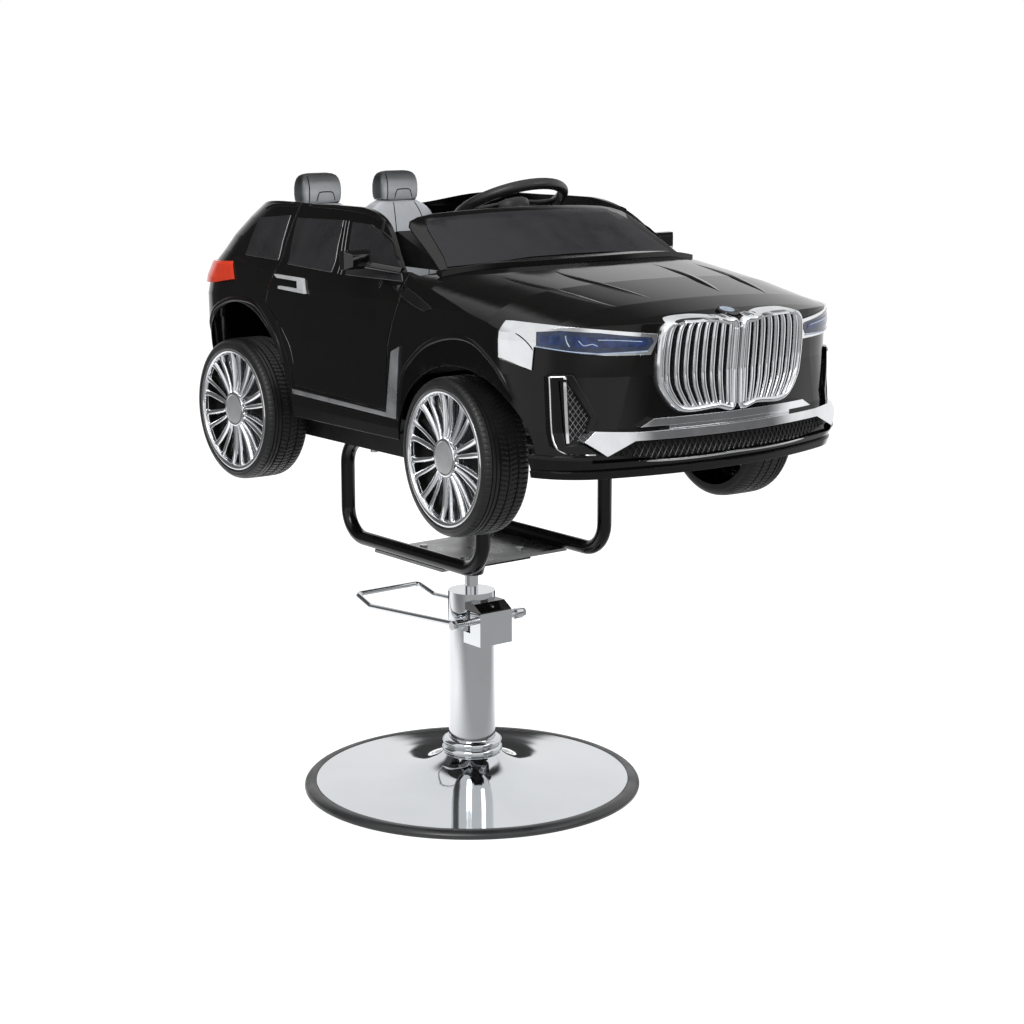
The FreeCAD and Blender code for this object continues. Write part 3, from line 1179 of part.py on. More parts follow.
def seat_form():
    """Moulded bench: a pan and two tapering backs, each with its domed headrest."""
    half, front, rear = size("seat_half"), size("seat_front"), size("seat_rear")
    low, top = size("riser_top"), size("seat_top")
    depth, over = size("headrest_depth"), size("overrun")
    section = [Vector(-half, front, low), Vector(-half, rear, low), Vector(-half, rear + depth / 2, top),
               Vector(-half, rear - 2 * depth, top), Vector(-half, front + over, top - depth / 4),
               Vector(-half, front, top - over)]
    pan = Part.Face(Part.makePolygon(section + section[:1])).extrude(Vector(2 * half, 0, 0))
    back_top, head_y = size("back_top"), size("headrest_y")
    reach, pieces = top - over - back_top, []

    def slab(x, wide, y0, y1, z):
        """Level outline with cut corners."""
        nip = (y1 - y0) * size("seat_nip")
        right = [Vector(wide - nip, y0, z), Vector(wide, y0 + nip, z), Vector(wide, y1 - nip, z),
                 Vector(wide - nip, y1, z)]
        ring = right + [Vector(-p.x, p.y, p.z) for p in reversed(right)]
        ring = [p + Vector(x, 0, 0) for p in ring]
        return Part.makePolygon(ring + ring[:1])

    for side in (1, -1):
        x = side * size("seat_spacing")
        wires = [slab(x, size("back_half") * wide, head_y + depth * y0, head_y + depth * y1,
                      back_top + reach * up) for up, wide, y0, y1 in BACK_SHARES]
        pieces.append(Part.makeLoft(wires, True, True))
        rise = size("headrest_top") - back_top
        wires = [slab(x, size("headrest_half") * wide, head_y - depth * deep, head_y + depth * deep,
                      back_top + rise * up) for up, wide, deep in HEADREST_SHARES]
        pieces.append(Part.makeLoft(wires, True, True))
    bridge = Part.makeBox(2 * size("seat_spacing"), depth, over,
                          Vector(-size("seat_spacing"), head_y - depth / 2, back_top - 2 * over))
    return pan.fuse(pieces + [bridge]).removeSplitter()


def dash_form(body):
    half, front, rear = size("dash_half"), -size("dash_front"), -size("dash_rear")
    top, low, over = size("dash_top"), size("dash_low"), size("overrun")
    line = [Vector(-half, front, low + over), Vector(-half, front + over, low),
            Vector(-half, rear - over, low),
            Vector(-half, rear, low + 2 * over), Vector(-half, rear - over / 2, top),
            Vector(-half, rear - 2 * over, top + over / 2), Vector(-half, front + 3 * over, top - over),
            Vector(-half, front, top - 2.2 * over)]
    shape = Part.Face(Part.makePolygon(line + line[:1])).extrude(Vector(2 * half, 0, 0))
    shape = shape.cut(column_line(size("column_radius") + size("fit")))
    return largest(shape.cut(body.with_shield()))


# Glass and trim


def shield_form(grow):
    """Windshield as a thin ruled sheet between its lower and upper curves."""
    low_z, thick = size("belt_z") - size("overrun"), size("glass_thick")
    top_z = size("shield_top")

    def strip(half, y, z, sweep, extra):
        outer = [Vector(-half, y + sweep, z), Vector(0, y - extra, z), Vector(half, y + sweep, z)]
        inner = [Vector(half, y + sweep + thick + grow, z), Vector(0, y + thick + grow, z),
                 Vector(-half, y + sweep + thick + grow, z)]
        return Part.Wire([Part.Arc(*outer).toShape(), Part.makeLine(outer[2], inner[0]),
                          Part.Arc(*inner).toShape(), Part.makeLine(inner[2], outer[0])])

    lean = (size("shield_low_y") - size("shield_high_y")) / (top_z - size("belt_z"))
    y_low = -size("shield_low_y") - lean * size("overrun")
    spread = (size("shield_low_half") - size("shield_high_half")) / (top_z - size("belt_z"))
    half_low = size("shield_low_half") + spread * size("overrun")
    return Part.makeLoft([strip(half_low, y_low, low_z, size("shield_sweep"), grow),
                          strip(size("shield_high_half"), -size("shield_high_y"), top_z,
                                size("shield_sweep"), grow)], True, True)


def front_box(x0, x1, z0, z1):
    """Prism through the car's front face between two widths and two heights."""
    return Part.makeBox(x1 - x0, size("nose_reach"), z1 - z0,
                        Vector(x0, -size("nose_reach") - 2 * size("overrun"), z0))


def lobe_wire(side, inset):
    low, high, half = size("grille_low"), size("grille_high"), size("grille_half")
    y = -size("nose_reach") - 2 * size("overrun")
    points = [Vector(side * half * u, y, low + (high - low) * v) for u, v in LOBE_SHARES]
    wire = Part.makePolygon(points + points[:1])
    if inset:
        wire = wire.makeOffset2D(-inset)
        wire = wire.Wires[0] if wire.ShapeType != "Wire" else wire
    return wire


def lobe_prism(side, inset):
    return Part.Face(lobe_wire(side, inset)).extrude(Vector(0, size("nose_reach") / 2, 0))


def build_grille(body):
    rings, slats = [], []
    for side in (1, -1):
        outer, inner = lobe_prism(side, 0.0), lobe_prism(side, size("grille_frame"))
        rings.append(outer.cut(inner))
        span = size("grille_half") - size("grille_frame")
        count = int(size("slat_count"))
        bars = []
        for k in range(count):
            x = side * (0.04 * span + span * (k + 0.5) / count)
            bars.append(front_box(x - size("slat_width") / 2, x + size("slat_width") / 2,
                                  size("grille_low"), size("grille_high")))
        slats.append(Part.makeCompound(bars).common(inner))
    frame = rings[0].fuse(rings[1:])
    node(solid(solids_of(body.pad(frame, size("grille_proud")))), "grille_frame")
    node(solid(solids_of(body.pad(Part.makeCompound(slats), size("slat_proud")))), "grille_slats")


def solids_of(shape):
    """All real solids of a shape, as one shape."""
    pieces = [s for s in shape.Solids if s.Volume > 1.0]
    return pieces[0] if len(pieces) == 1 else Part.makeCompound(pieces)


def front_region(shares, half, low, high):
    """Prisms through the front face, on both sides, inside an outline given by shares."""
    y, prisms = -size("nose_reach") - 2 * size("overrun"), []
    for side in (1, -1):
        ring = [Vector(side * half * u, y, low + (high - low) * v) for u, v in shares]
        prisms.append(Part.Face(Part.makePolygon(ring + ring[:1])).extrude(
            Vector(0, size("lamp_reach") + 2 * size("overrun"), 0)))
    return prisms[0].fuse(prisms[1:])


def build_front_trim(body):
    lamps = front_region(LAMP_SHARES, size("lamp_half"), size("lamp_bottom"), size("lamp_top"))
    lobes = lobe_prism(1, 0.0).fuse(lobe_prism(-1, 0.0))
    node(solid(solids_of(body.pad(lamps, size("lamp_proud")).cut(lobes))), "headlights")
    reach = (size("intake_half"), size("intake_bottom"), size("intake_top"))
    frames = front_region(INTAKE_SHARES, *reach).cut(front_region(INTAKE_GAP_SHARES, *reach))
    reach = (size("bar_half"), size("bar_low"), size("bar_high"))
    lower, ledge = front_region(BAR_SHARES, *reach), front_region(LEDGE_SHARES, *reach)
    gap = size("seat_gap")
    frames = frames.cut(front_region(BAR_SHARES, size("bar_half") + 4 * gap, size("bar_low") - gap,
                                     size("bar_high") + gap))
    node(solid(solids_of(body.pad(frames, size("intake_proud")))), "intake_frames")
    web = front_box(-size("bar_half") / 2, size("bar_half") / 2, size("bar_low"), size("bar_high"))
    bar = body.pad(lower, size("bar_proud")).fuse([body.pad(ledge, size("ledge_proud")),
                                                   body.pad(web, size("intake_proud"))])
    node(solid(largest(bar.removeSplitter())), "bumper_bar")
    mesh = front_region(MESH_SHARES, size("mesh_half"), size("lip_high"), size("bar_low"))
    mesh = mesh.cut(front_region(BAR_SHARES, size("bar_half"), *reach[1:]))
    node(solid(solids_of(body.pad(mesh, size("mesh_proud")))), "lower_grille")
    build_lip(body)


def build_lip(body):
    """Lip round the foot of the nose, with raised tips at its ends."""
    back, drop = size("lip_reach") - size("nose_reach"), size("lip_drop")
    low, high, tip = size("body_bottom"), size("lip_high"), size("lip_tip")
    front = -2 * size("nose_reach")
    band = flat_block(4 * size("body_half"), front, back, low, high)
    half = size("intake_half")
    tips = flat_block(4 * half, front, back, low, tip)
    tips = tips.cut(flat_block(2 * size("bar_half"), front, 0, 0, 2 * tip))
    lip = body.pad(band.fuse(tips), size("lip_proud"))
    under = flat_block(4 * half, front, back, low - drop, low)
    skirt = lower_plan(size("lip_proud"), drop).cut(lower_plan(-size("lip_proud"), drop)).common(under)
    node(solid(largest(lip.fuse(skirt).removeSplitter())), "lower_lip")


def build_trim(body):
    node(solid(largest(shield_form(0.0).common(shield_outline()).cut(body.outer))), "windshield")
    wide = size("cowl_width")
    y, sweep, half = -size("shield_low_y"), size("shield_sweep"), size("shield_low_half")
    z = size("body_bottom")
    front = [Vector(-half, y + sweep - wide, z), Vector(0, y - wide, z), Vector(half, y + sweep - wide, z)]
    back = [Vector(half, y + sweep, z), Vector(0, y, z), Vector(-half, y + sweep, z)]
    wire = Part.Wire([Part.Arc(*front).toShape(), Part.makeLine(front[2], back[0]),
                      Part.Arc(*back).toShape(), Part.makeLine(back[2], front[0])])
    band = Part.Face(wire).extrude(Vector(0, 0, size("roof_z") - z))
    top = hood_form(size("cowl_height")).cut(body.outer)
    node(solid(largest(band.common(top).cut(shield_form(0.0)))), "cowl_bar")
    centre = Vector(0, size("badge_back") - size("nose_reach"), hood_height(size("badge_rise")))
    tip, thick = Vector(0, -size("badge_lean"), 1), size("badge_thick")
    disc = Part.makeCylinder(size("badge_radius"), 6 * thick, centre - tip * (3 * thick), tip)
    lobes = lobe_prism(1, 0.0).fuse(lobe_prism(-1, 0.0))
    node(solid(largest(disc.common(body.grown(thick)).cut(body.outer).cut(lobes))), "badge_disc")
    build_side_trim(body)


def shield_outline():
    """Front view of the windshield with rounded upper corners, drawn along the car."""
    low, high = size("belt_z") - 2 * size("overrun"), size("shield_top")
    wide, narrow, corner = 2 * size("shield_low_half"), size("shield_high_half"), size("shield_corner")
    y = -size("nose_reach")
    right = [Vector(wide, y, low), Vector(wide, y, high - corner),
             Vector(narrow + corner / 4, y, high - corner),
             Vector(narrow - corner / 3, y, high - corner / 4), Vector(narrow - corner, y, high)]
    ring = right + [Vector(-p.x, p.y, p.z) for p in reversed(right)]
    return Part.Face(Part.makePolygon(ring + ring[:1])).extrude(Vector(0, size("nose_reach"), 0))


def outboard(shape):
    """The two side portions of a form that crosses the car."""
    return shape.cut(flat_block(1.5 * size("body_half"), -2 * size("nose_reach"), 2 * size("tail_reach"),
                                0, 2 * size("roof_z")))


def build_side_trim(body):
    trims = side_region(VENT_SHARES).fuse(side_region(SILL_SHARES))
    trims = trims.cut([door_prism(0.0), arch_cutter(*arch_of("front", size("trim_proud")),
                                                    size("tub_half"))])
    node(solid(solids_of(body.pad(outboard(trims), size("trim_proud")))), "side_trims")
    tails = side_region(TAIL_LIGHT_SHARES)
    tails = tails.cut(flat_block(2 * size("tail_x"), 0, 2 * size("tail_reach"), 0, 2 * size("roof_z")))
    node(solid(solids_of(body.pad(tails, size("tail_proud")))), "tail_lights")
    handles = body.pad(outboard(side_region(HANDLE_SHARES)), size("handle_proud"))
    for side, name in ((1, "door_handle_left"), (-1, "door_handle_right")):
        node(solid(solids_of(handles.common(half_space(side)))), name)
        node(solid(mirror_form(body, side)), "door_mirror_left" if side > 0 else "door_mirror_right")


def mirror_form(body, side):
    """Mirror housing on a slanting arm that stands on the door at the foot of its pillar."""
    x = side * (size("body_half") + size("mirror_out"))
    y, z = -size("mirror_y"), size("mirror_z")
    half, height, depth = size("mirror_half"), size("mirror_height") / 2, size("mirror_depth") / 2

    def frame(yy, share):
        return Part.makePolygon([Vector(x - half * share, yy, z - height * share),
                                 Vector(x + half * share, yy, z - height * share),
                                 Vector(x + half * share, yy, z + height * share),
                                 Vector(x - half * share, yy, z + height * share),
                                 Vector(x - half * share, yy, z - height * share)])

    shell = Part.makeLoft([frame(y + depth, 1.0), frame(y, 0.96), frame(y - depth, 0.6)], True, True)
    foot = Vector(side * (size("body_half") - size("mirror_foot_inset")), -size("mirror_foot_y"),
                  size("mirror_foot_z"))
    goal = Vector(x - side * half / 2, y, z - height / 2)
    arm = tube_between(foot, goal, depth * 0.55)
    return largest(shell.fuse(arm).cut(body.whole()))


def tube_between(start, end, radius):
    return Part.makeCylinder(radius, (end - start).Length, start, end - start)


def write_parts():
    DOC.recompute()
    faults = [item.Label for item in DOC.Objects if "Invalid" in item.State or "Error" in item.State]
    if faults:
        raise SystemExit(f"failed objects: {faults}")
    os.makedirs("parts", exist_ok=True)
    for name, item in NODES:
        shape = item.Shape
        if shape.isNull() or not shape.isValid() or not shape.Solids:
            raise SystemExit(f"{name} has no valid shape")
        shape.exportStep(os.path.join("parts", f"{name}.step"))
        print(f"{name:22s} solids {len(shape.Solids):3d} volume {shape.Volume / 1000:9.1f} cm3")
    print(len(NODES), "nodes")


def main():
    build_base()
    build_column()
    build_pump_block()
    build_pedal()
    build_lift()
    build_frame()
    body = Body()
    build_body(body)
    build_chassis(body)
    build_wheels()
    build_axles()
    build_steering()
    build_interior(body)
    build_grille(body)
    build_front_trim(body)
    build_trim(body)
    write_parts()


main()
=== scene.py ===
"""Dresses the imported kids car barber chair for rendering. Metres, in the row frame."""
import json
import math
import random

import bmesh
import bpy
from mathutils import Matrix, Vector, geometry
from mathutils.bvhtree import BVHTree


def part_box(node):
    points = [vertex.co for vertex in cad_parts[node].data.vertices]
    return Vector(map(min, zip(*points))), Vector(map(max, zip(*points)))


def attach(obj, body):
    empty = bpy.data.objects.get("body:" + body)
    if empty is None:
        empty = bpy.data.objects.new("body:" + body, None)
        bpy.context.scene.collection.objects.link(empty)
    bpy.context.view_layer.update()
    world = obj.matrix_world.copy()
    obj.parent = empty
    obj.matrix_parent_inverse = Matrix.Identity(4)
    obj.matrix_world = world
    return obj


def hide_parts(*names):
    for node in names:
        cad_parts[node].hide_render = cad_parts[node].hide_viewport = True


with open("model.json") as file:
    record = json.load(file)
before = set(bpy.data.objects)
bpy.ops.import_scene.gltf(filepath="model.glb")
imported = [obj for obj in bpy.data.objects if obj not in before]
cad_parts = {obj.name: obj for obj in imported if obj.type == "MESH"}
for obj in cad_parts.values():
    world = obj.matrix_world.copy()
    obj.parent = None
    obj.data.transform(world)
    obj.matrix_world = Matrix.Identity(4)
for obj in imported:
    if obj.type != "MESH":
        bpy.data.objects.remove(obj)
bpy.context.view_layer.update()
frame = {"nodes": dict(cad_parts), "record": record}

NODES = frame["nodes"]
SCENE = bpy.context.scene
random.seed(7)
FRONT, TOP = Vector((0, 1, 0)), Vector((0, 0, -1))
SIDES = ((-1, "right"), (1, "left"))

# Places that the solids give, in millimetres and degrees.
AXLE_Z, FRONT_AXLE, REAR_AXLE, KINGPIN_X = 674.4, -352.75, 271.6, 218.0
REST_STEER, KINGPIN_RATIO, COLUMN_TILT = 4.3, 0.6, 26.0
SEAT_X, HEAD_Y = 85.0, 343.0

# Light of the floor and the world.
FLOOR_GLOW, WORLD_LIGHT = 0.80, 0.42

# ---------------------------------------------------------------- materials


def new_material(name):
    mat = bpy.data.materials.new(name)
    mat.use_nodes = True
    tree = mat.node_tree
    return mat, tree, tree.nodes["Principled BSDF"]


def add(tree, kind, **inputs):
    item = tree.nodes.new("ShaderNode" + kind)
    for key, value in inputs.items():
        item.inputs[key.replace("_", " ")].default_value = value
    return item


def maths(tree, operation, *values):
    """Result of a math node on sockets or plain numbers."""
    item = add(tree, "Math")
    item.operation = operation
    for port, value in zip(item.inputs, values):
        if isinstance(value, float):
            port.default_value = value
        else:
            tree.links.new(value, port)
    return item.outputs[0]


def grey(value):
    return (value, value, value, 1.0)


def ramp(tree, source, low, high, start=0.35, end=0.65):
    """Colour or grey between two values, driven by a texture."""
    item = add(tree, "ValToRGB")
    first, last = item.color_ramp.elements
    first.position, last.position = start, end
    first.color, last.color = low, high
    tree.links.new(source, item.inputs["Fac"])
    return item.outputs["Color"]


def finish(name, colour, rough=0.3, metal=0.0, vary=0.12, scale=18.0, bump=0.02, bump_scale=320.0,
        coat=0.0, specular=0.5, ior=1.5, rough_vary=0.25, grain="noise", edge=0.0, far=None):
    """Surface with mottled colour, uneven gloss and a fine relief; edge softens its corners; far paints shade
    into the colour by height and facing.
    """
    mat, tree, shader = new_material(name)
    coords = add(tree, "TexCoord")
    broad = add(tree, "TexNoise", Scale=scale, Detail=5.0, Roughness=0.6)
    tree.links.new(coords.outputs["Object"], broad.inputs["Vector"])
    low = tuple(c * (1 - vary) for c in colour) + (1.0,)
    high = tuple(min(1.0, c * (1 + vary)) for c in colour) + (1.0,)
    tint = ramp(tree, broad.outputs["Fac"], low, high)
    # far: painted shade, darker by height and on faces turned sideways
    if far:
        tint = height_shade(tree, coords, tint, *far)
    tree.links.new(tint, shader.inputs["Base Color"])
    tree.links.new(ramp(tree, broad.outputs["Fac"], grey(rough * (1 - rough_vary)),
            grey(min(1.0, rough * (1 + rough_vary)))), shader.inputs["Roughness"])
    for key, value in (("Metallic", metal), ("Specular IOR Level", specular), ("Coat Weight", coat),
            ("IOR", ior), ("Coat Roughness", 0.04)):
        shader.inputs[key].default_value = value
    if grain == "leather":
        fine = add(tree, "TexVoronoi", Scale=bump_scale)
        fine.feature = "DISTANCE_TO_EDGE"
        height = fine.outputs["Distance"]
    else:
        fine = add(tree, "TexNoise", Scale=bump_scale, Detail=3.0)
        height = fine.outputs["Fac"]
    tree.links.new(coords.outputs["Object"], fine.inputs["Vector"])
    relief = add(tree, "Bump", Strength=bump, Distance=0.001)
    tree.links.new(height, relief.inputs["Height"])
    if edge:
        soft = add(tree, "Bevel", Radius=edge)
        soft.samples = 4
        tree.links.new(soft.outputs["Normal"], relief.inputs["Normal"])
    tree.links.new(relief.outputs["Normal"], shader.inputs["Normal"])
    return mat


def height_shade(tree, coords, tint, marks):
    """Painted shade: darkens a colour on the flanks and along the height; marks are (height in metres,
    brightness).
    """
    split = add(tree, "SeparateXYZ")
    tree.links.new(coords.outputs["Object"], split.inputs["Vector"])
    low, high = marks[0][0], marks[-1][0]
    reach = add(tree, "MapRange")
    reach.inputs["From Min"].default_value, reach.inputs["From Max"].default_value = low, high
    tree.links.new(split.outputs["Z"], reach.inputs["Value"])
    shade = add(tree, "ValToRGB")
    first, last = shade.color_ramp.elements
    first.color, last.color = grey(marks[0][1]), grey(marks[-1][1])
    for z, value in marks[1:-1]:
        shade.color_ramp.elements.new((z - low) / (high - low)).color = grey(value)
    tree.links.new(reach.outputs["Result"], shade.inputs["Fac"])
    # painted shade: faces turned to the sides darken
    facing = add(tree, "SeparateXYZ")
    tree.links.new(coords.outputs["Normal"], facing.inputs["Vector"])
    painted_flank_shade = ramp(tree, maths(tree, "ABSOLUTE", facing.outputs["X"]), grey(1.0), grey(0.16), 0.35, 0.92)
    for source in (shade.outputs["Color"], painted_flank_shade):
        mix = add(tree, "Mix")
        mix.data_type, mix.blend_type = "RGBA", "MULTIPLY"
        mix.inputs[0].default_value = 1.0
        tree.links.new(tint, mix.inputs[6])
        tree.links.new(source, mix.inputs[7])
        tint = mix.outputs[2]
    return tint


# painted shade of the seat: darker headrest tops and a darker foot of the backs
SEAT_PAINTED_SHADE = [(0.735, 0.50), (0.90, 0.90), (1.000, 1.0), (1.040, 1.0), (1.051, 0.60), (1.060, 0.18),
        (1.068, 0.05), (1.076, 0.03)]
MAT = {
    "paint": finish("body_paint", (0.0050, 0.0045, 0.0043), rough=0.09, vary=0.15, bump=0.008,
        bump_scale=420.0, specular=0.24, edge=0.002),
    "tube": finish("black_tube", (0.005, 0.005, 0.0055), rough=0.14, bump_scale=500.0, specular=0.32),
    # matte near-black for painted shade: the sheet in the front wheel openings and the fold of the lamp wedge
    "liner": finish("painted_shade_sheet", (0.0028, 0.0028, 0.0028), rough=0.7, bump=0.05, specular=0.06),
    "black_plastic": finish("black_plastic", (0.010, 0.010, 0.010), rough=0.5, bump=0.12, bump_scale=900.0,
        specular=0.3),
    "black_gloss": finish("black_gloss", (0.004, 0.004, 0.004), rough=0.06, bump=0.01, edge=0.001,
        specular=0.7),
    "rubber": finish("black_rubber", (0.016, 0.016, 0.016), rough=0.5, bump=0.1),
    "ring": finish("edge_ring", (0.034, 0.035, 0.037), rough=0.36, bump=0.08, bump_scale=200.0),
    "tyre": finish("tyre_moulded", (0.012, 0.012, 0.0125), rough=0.42, bump=0.08, bump_scale=260.0,
        specular=0.4),
    "grip": finish("wheel_grip", (0.014, 0.014, 0.015), rough=0.34, bump=0.2, bump_scale=700.0,
        grain="leather", specular=0.45),
    "chrome": finish("chrome_plate", (0.64, 0.66, 0.68), rough=0.05, metal=1.0, vary=0.03, scale=6.0,
        bump=0.004, bump_scale=60.0, rough_vary=0.4),
    "bright": finish("bright_chrome", (0.74, 0.75, 0.77), rough=0.07, metal=1.0, vary=0.05, scale=30.0,
        bump=0.03, bump_scale=60.0, rough_vary=0.4, edge=0.0008),
    # pale rough metal: the satin door handles, and a painted highlight on the grille rings' top flank
    "satin_and_highlight": finish("ring_crown", (0.80, 0.81, 0.83), rough=0.38, metal=0.55, vary=0.05),
    "satin": finish("satin_trim", (0.62, 0.63, 0.65), rough=0.34, metal=1.0, vary=0.06, edge=0.0008),
    "steel": finish("zinc_steel", (0.55, 0.56, 0.57), metal=1.0, bump=0.05),
    "dark_steel": finish("dark_steel", (0.05, 0.05, 0.052), rough=0.4, metal=0.4, bump=0.05),
    "mount": finish("grey_plate", (0.30, 0.305, 0.31), metal=0.6, bump=0.04),
    "window": finish("window_panel", (0.024, 0.024, 0.026), rough=0.32, specular=0.22),
    "shield": finish("shield_panel", (0.023, 0.023, 0.026), rough=0.32, specular=0.12),
    "seam": finish("seam_line", (0.004, 0.004, 0.004), rough=0.6, specular=0.1),
    # pale lines: painted highlight along seams and door edges
    "hair": finish("edge_light", (0.20, 0.20, 0.21), metal=0.6),
    # seat_skin carries painted shade on its flanks, headrest tops and back feet
    "seat": finish("seat_skin", (0.50, 0.52, 0.55), rough=0.36, vary=0.06, bump=0.14, bump_scale=520.0,
        grain="leather", far=(SEAT_PAINTED_SHADE,)),
    "lens": finish("lamp_lens", (0.028, 0.042, 0.085), rough=0.08, coat=0.3, bump=0.01, specular=0.4,
        scale=60.0, vary=0.4),
    "pale": finish("badge_face", (0.34, 0.40, 0.50), rough=0.2, scale=90.0, vary=0.2),
    "cell": finish("lamp_cell", (0.016, 0.036, 0.130), rough=0.08, coat=0.3, bump=0.01, specular=0.4,
        scale=90.0, vary=0.5),
    "ice": finish("lamp_light", (0.44, 0.55, 0.74), rough=0.12, coat=0.5, bump=0.01),
    # black: the backing behind the intake mesh, and painted shade on the floors of the wheel openings
    "mesh": finish("black_back_and_shade", (0.004, 0.004, 0.004), rough=0.5, bump=0.03, specular=0.15),
    "wire": finish("mesh_wire", (0.30, 0.30, 0.31), metal=0.5, bump=0.03),
    "comb": finish("mesh_comb", (0.022, 0.022, 0.022), rough=0.2, bump=0.03),
    "red": finish("tail_red", (0.74, 0.050, 0.016), rough=0.16, coat=0.2, specular=0.3),
    "hub": finish("hub_disc", (0.46, 0.465, 0.475), rough=0.40, metal=0.45, bump=0.03),
    "grey_plastic": finish("grey_plastic", (0.22, 0.23, 0.24), rough=0.4, bump=0.1),
}
SLOT_LOOK = {
    "base_steel": "dark_steel", "black_rubber": "ring", "chrome": "chrome", "steel": "steel",
    "dark_steel": "dark_steel", "black_plastic": "black_plastic", "black_metal": "tube",
    "grey_metal": "mount", "gloss_black": "paint", "window_dark": "window", "grey_plastic": "grey_plastic",
    "seat_grey": "seat", "chrome_plastic": "bright", "lamp_lens": "lens", "mesh_black": "mesh",
    "tail_red": "red", "tyre": "tyre",
}
NODE_LOOK = {"windshield": "shield", "side_trims": "satin", "pump_top_cap": "black_gloss",
        "horn_button": "black_gloss", "dashboard": "black_plastic", "headlights": "bright",
        "intake_frames": "paint", "badge_disc": "black_gloss", "door_handle_left": "satin_and_highlight",
        "door_handle_right": "satin_and_highlight", "door_mirror_left": "black_gloss",
        "door_mirror_right": "black_gloss"}
for entry in frame["record"]["subparts"]:
    item = NODES[entry["node"]]
    look = NODE_LOOK.get(entry["node"], SLOT_LOOK[entry["material_slot"]])
    item.data.materials.clear()
    item.data.materials.append(MAT[look])

# ---------------------------------------------------------------- mesh tools


def mm(*values):
    return Vector(values) / 1000.0


def make(name, verts, faces, looks, body, nodes=(), slot=None, sharp=35.0, marks=None, matrix=None,
        share=None):
    """Piece from points and faces, smooth but for its sharp edges. marks: material number per face."""
    data = share
    if data is None:
        data = bpy.data.meshes.new(name)
        data.from_pydata([tuple(v) for v in verts], [], faces)
        for look in (looks if isinstance(looks, (list, tuple)) else [looks]):
            data.materials.append(MAT[look])
        bm = bmesh.new()
        bm.from_mesh(data)
        if marks:
            for face, mark in zip(bm.faces, marks):
                face.material_index = mark
        bmesh.ops.remove_doubles(bm, verts=bm.verts, dist=1e-6)
        bmesh.ops.recalc_face_normals(bm, faces=bm.faces)
        for face in bm.faces:
            face.smooth = True
        for line in bm.edges:
            line.smooth = line.calc_face_angle(0.0) < math.radians(sharp)
        bm.to_mesh(data)
        bm.free()
    piece = bpy.data.objects.new(name, data)
    SCENE.collection.objects.link(piece)
    if matrix is not None:
        piece.matrix_world = matrix
    if nodes:
        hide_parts(*nodes)
    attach(piece, body)
    return piece


def surface(*names):
    """Search tree over the faces of CAD nodes."""
    verts, faces = [], []
    for name in names:
        mesh = NODES[name].data
        start = len(verts)
        verts += [v.co.copy() for v in mesh.vertices]
        faces += [[start + i for i in p.vertices] for p in mesh.polygons]
    return BVHTree.FromPolygons(verts, faces)


def cast(tree, point, aim, back=0.30):
    """Where a line along aim through the point first meets the surface, and the normal there."""
    aim = aim.normalized()
    spot, normal, _, _ = tree.ray_cast(point - aim * back, aim, 2.5 * back)
    if spot is None:
        spot, normal, _, _ = tree.find_nearest(point)
    return spot, (normal if normal.dot(aim) < 0 else -normal)


def curve(points, closed=False, step=0.006, soft=True):
    """Even points along a smooth line, or along straight runs, through the given points."""
    points = [Vector(p) for p in points]
    count = len(points)
    out = []
    for i in range(count if closed else count - 1):
        b, c = points[i], points[(i + 1) % count]
        a = points[i - 1] if closed or i else b
        d = points[(i + 2) % count] if closed or i + 2 < count else c
        parts = max(1, math.ceil((c - b).length / step))
        for k in range(parts):
            t = k / parts
            if soft:
                out.append(0.5 * (2 * b + (c - a) * t + (2 * a - 5 * b + 4 * c - d) * t * t
                        + (3 * b - a - 3 * c + d) * t ** 3))
            else:
                out.append(b.lerp(c, t))
    return out if closed else out + [points[-1]]


HALF_ROUND = [(-1, 0), (-0.86, 0.42), (-0.5, 0.84), (0, 1), (0.5, 0.84), (0.86, 0.42), (1, 0)]
FLAT_BAND = [(-1, 0), (-0.97, 0.8), (-0.88, 1), (0.88, 1), (0.97, 0.8), (1, 0)]


class Build:
    """Collects the points and faces of one piece."""

    def __init__(self):
        self.verts, self.faces, self.marks = [], [], []

    def rows(self, rows, closed=False, wrap=True, caps=True, mark=0):
        """Faces between rows of equal length; wrap joins each row's ends."""
        start, wide = len(self.verts), len(rows[0])
        for row in rows:
            self.verts += [Vector(p) for p in row]
        for i in range(len(rows) if closed else len(rows) - 1):
            a, b = start + i * wide, start + (i + 1) % len(rows) * wide
            for k in range(wide if wrap else wide - 1):
                n = (k + 1) % wide
                self.faces.append((a + k, a + n, b + n, b + k))
                self.marks.append(mark)
        if caps and not closed:
            for first in (start, start + (len(rows) - 1) * wide):
                self.faces.append(tuple(range(first, first + wide)))
                self.marks.append(mark)

    def strip(self, spots, width, height, form=HALF_ROUND, closed=False, taper=0.0, sink=0.0006, mark=0):
        """Raised band along surface spots (point, normal)."""
        count = len(spots)
        rows = []
        for i, (point, normal) in enumerate(spots):
            ahead = spots[(i + 1) % count][0] if closed or i + 1 < count else point
            behind = spots[i - 1][0] if closed or i else point
            side = (ahead - behind).cross(normal).normalized()
            part = 1.0
            if taper:
                along = i / (count - 1)
                part = min(1.0, along / taper, (1 - along) / taper)
                part = 0.06 + 0.94 * part * part * (3 - 2 * part)
            half = width / 2 * (0.35 + 0.65 * part if taper else 1.0)
            rows.append([point + side * u * half + normal * (v * height * part - sink) for u, v in form])
        self.rows(rows, closed=closed, mark=mark)

    def make(self, name, looks, body, **more):
        return make(name, self.verts, self.faces, looks, body,
                marks=self.marks if any(self.marks) else None, **more)


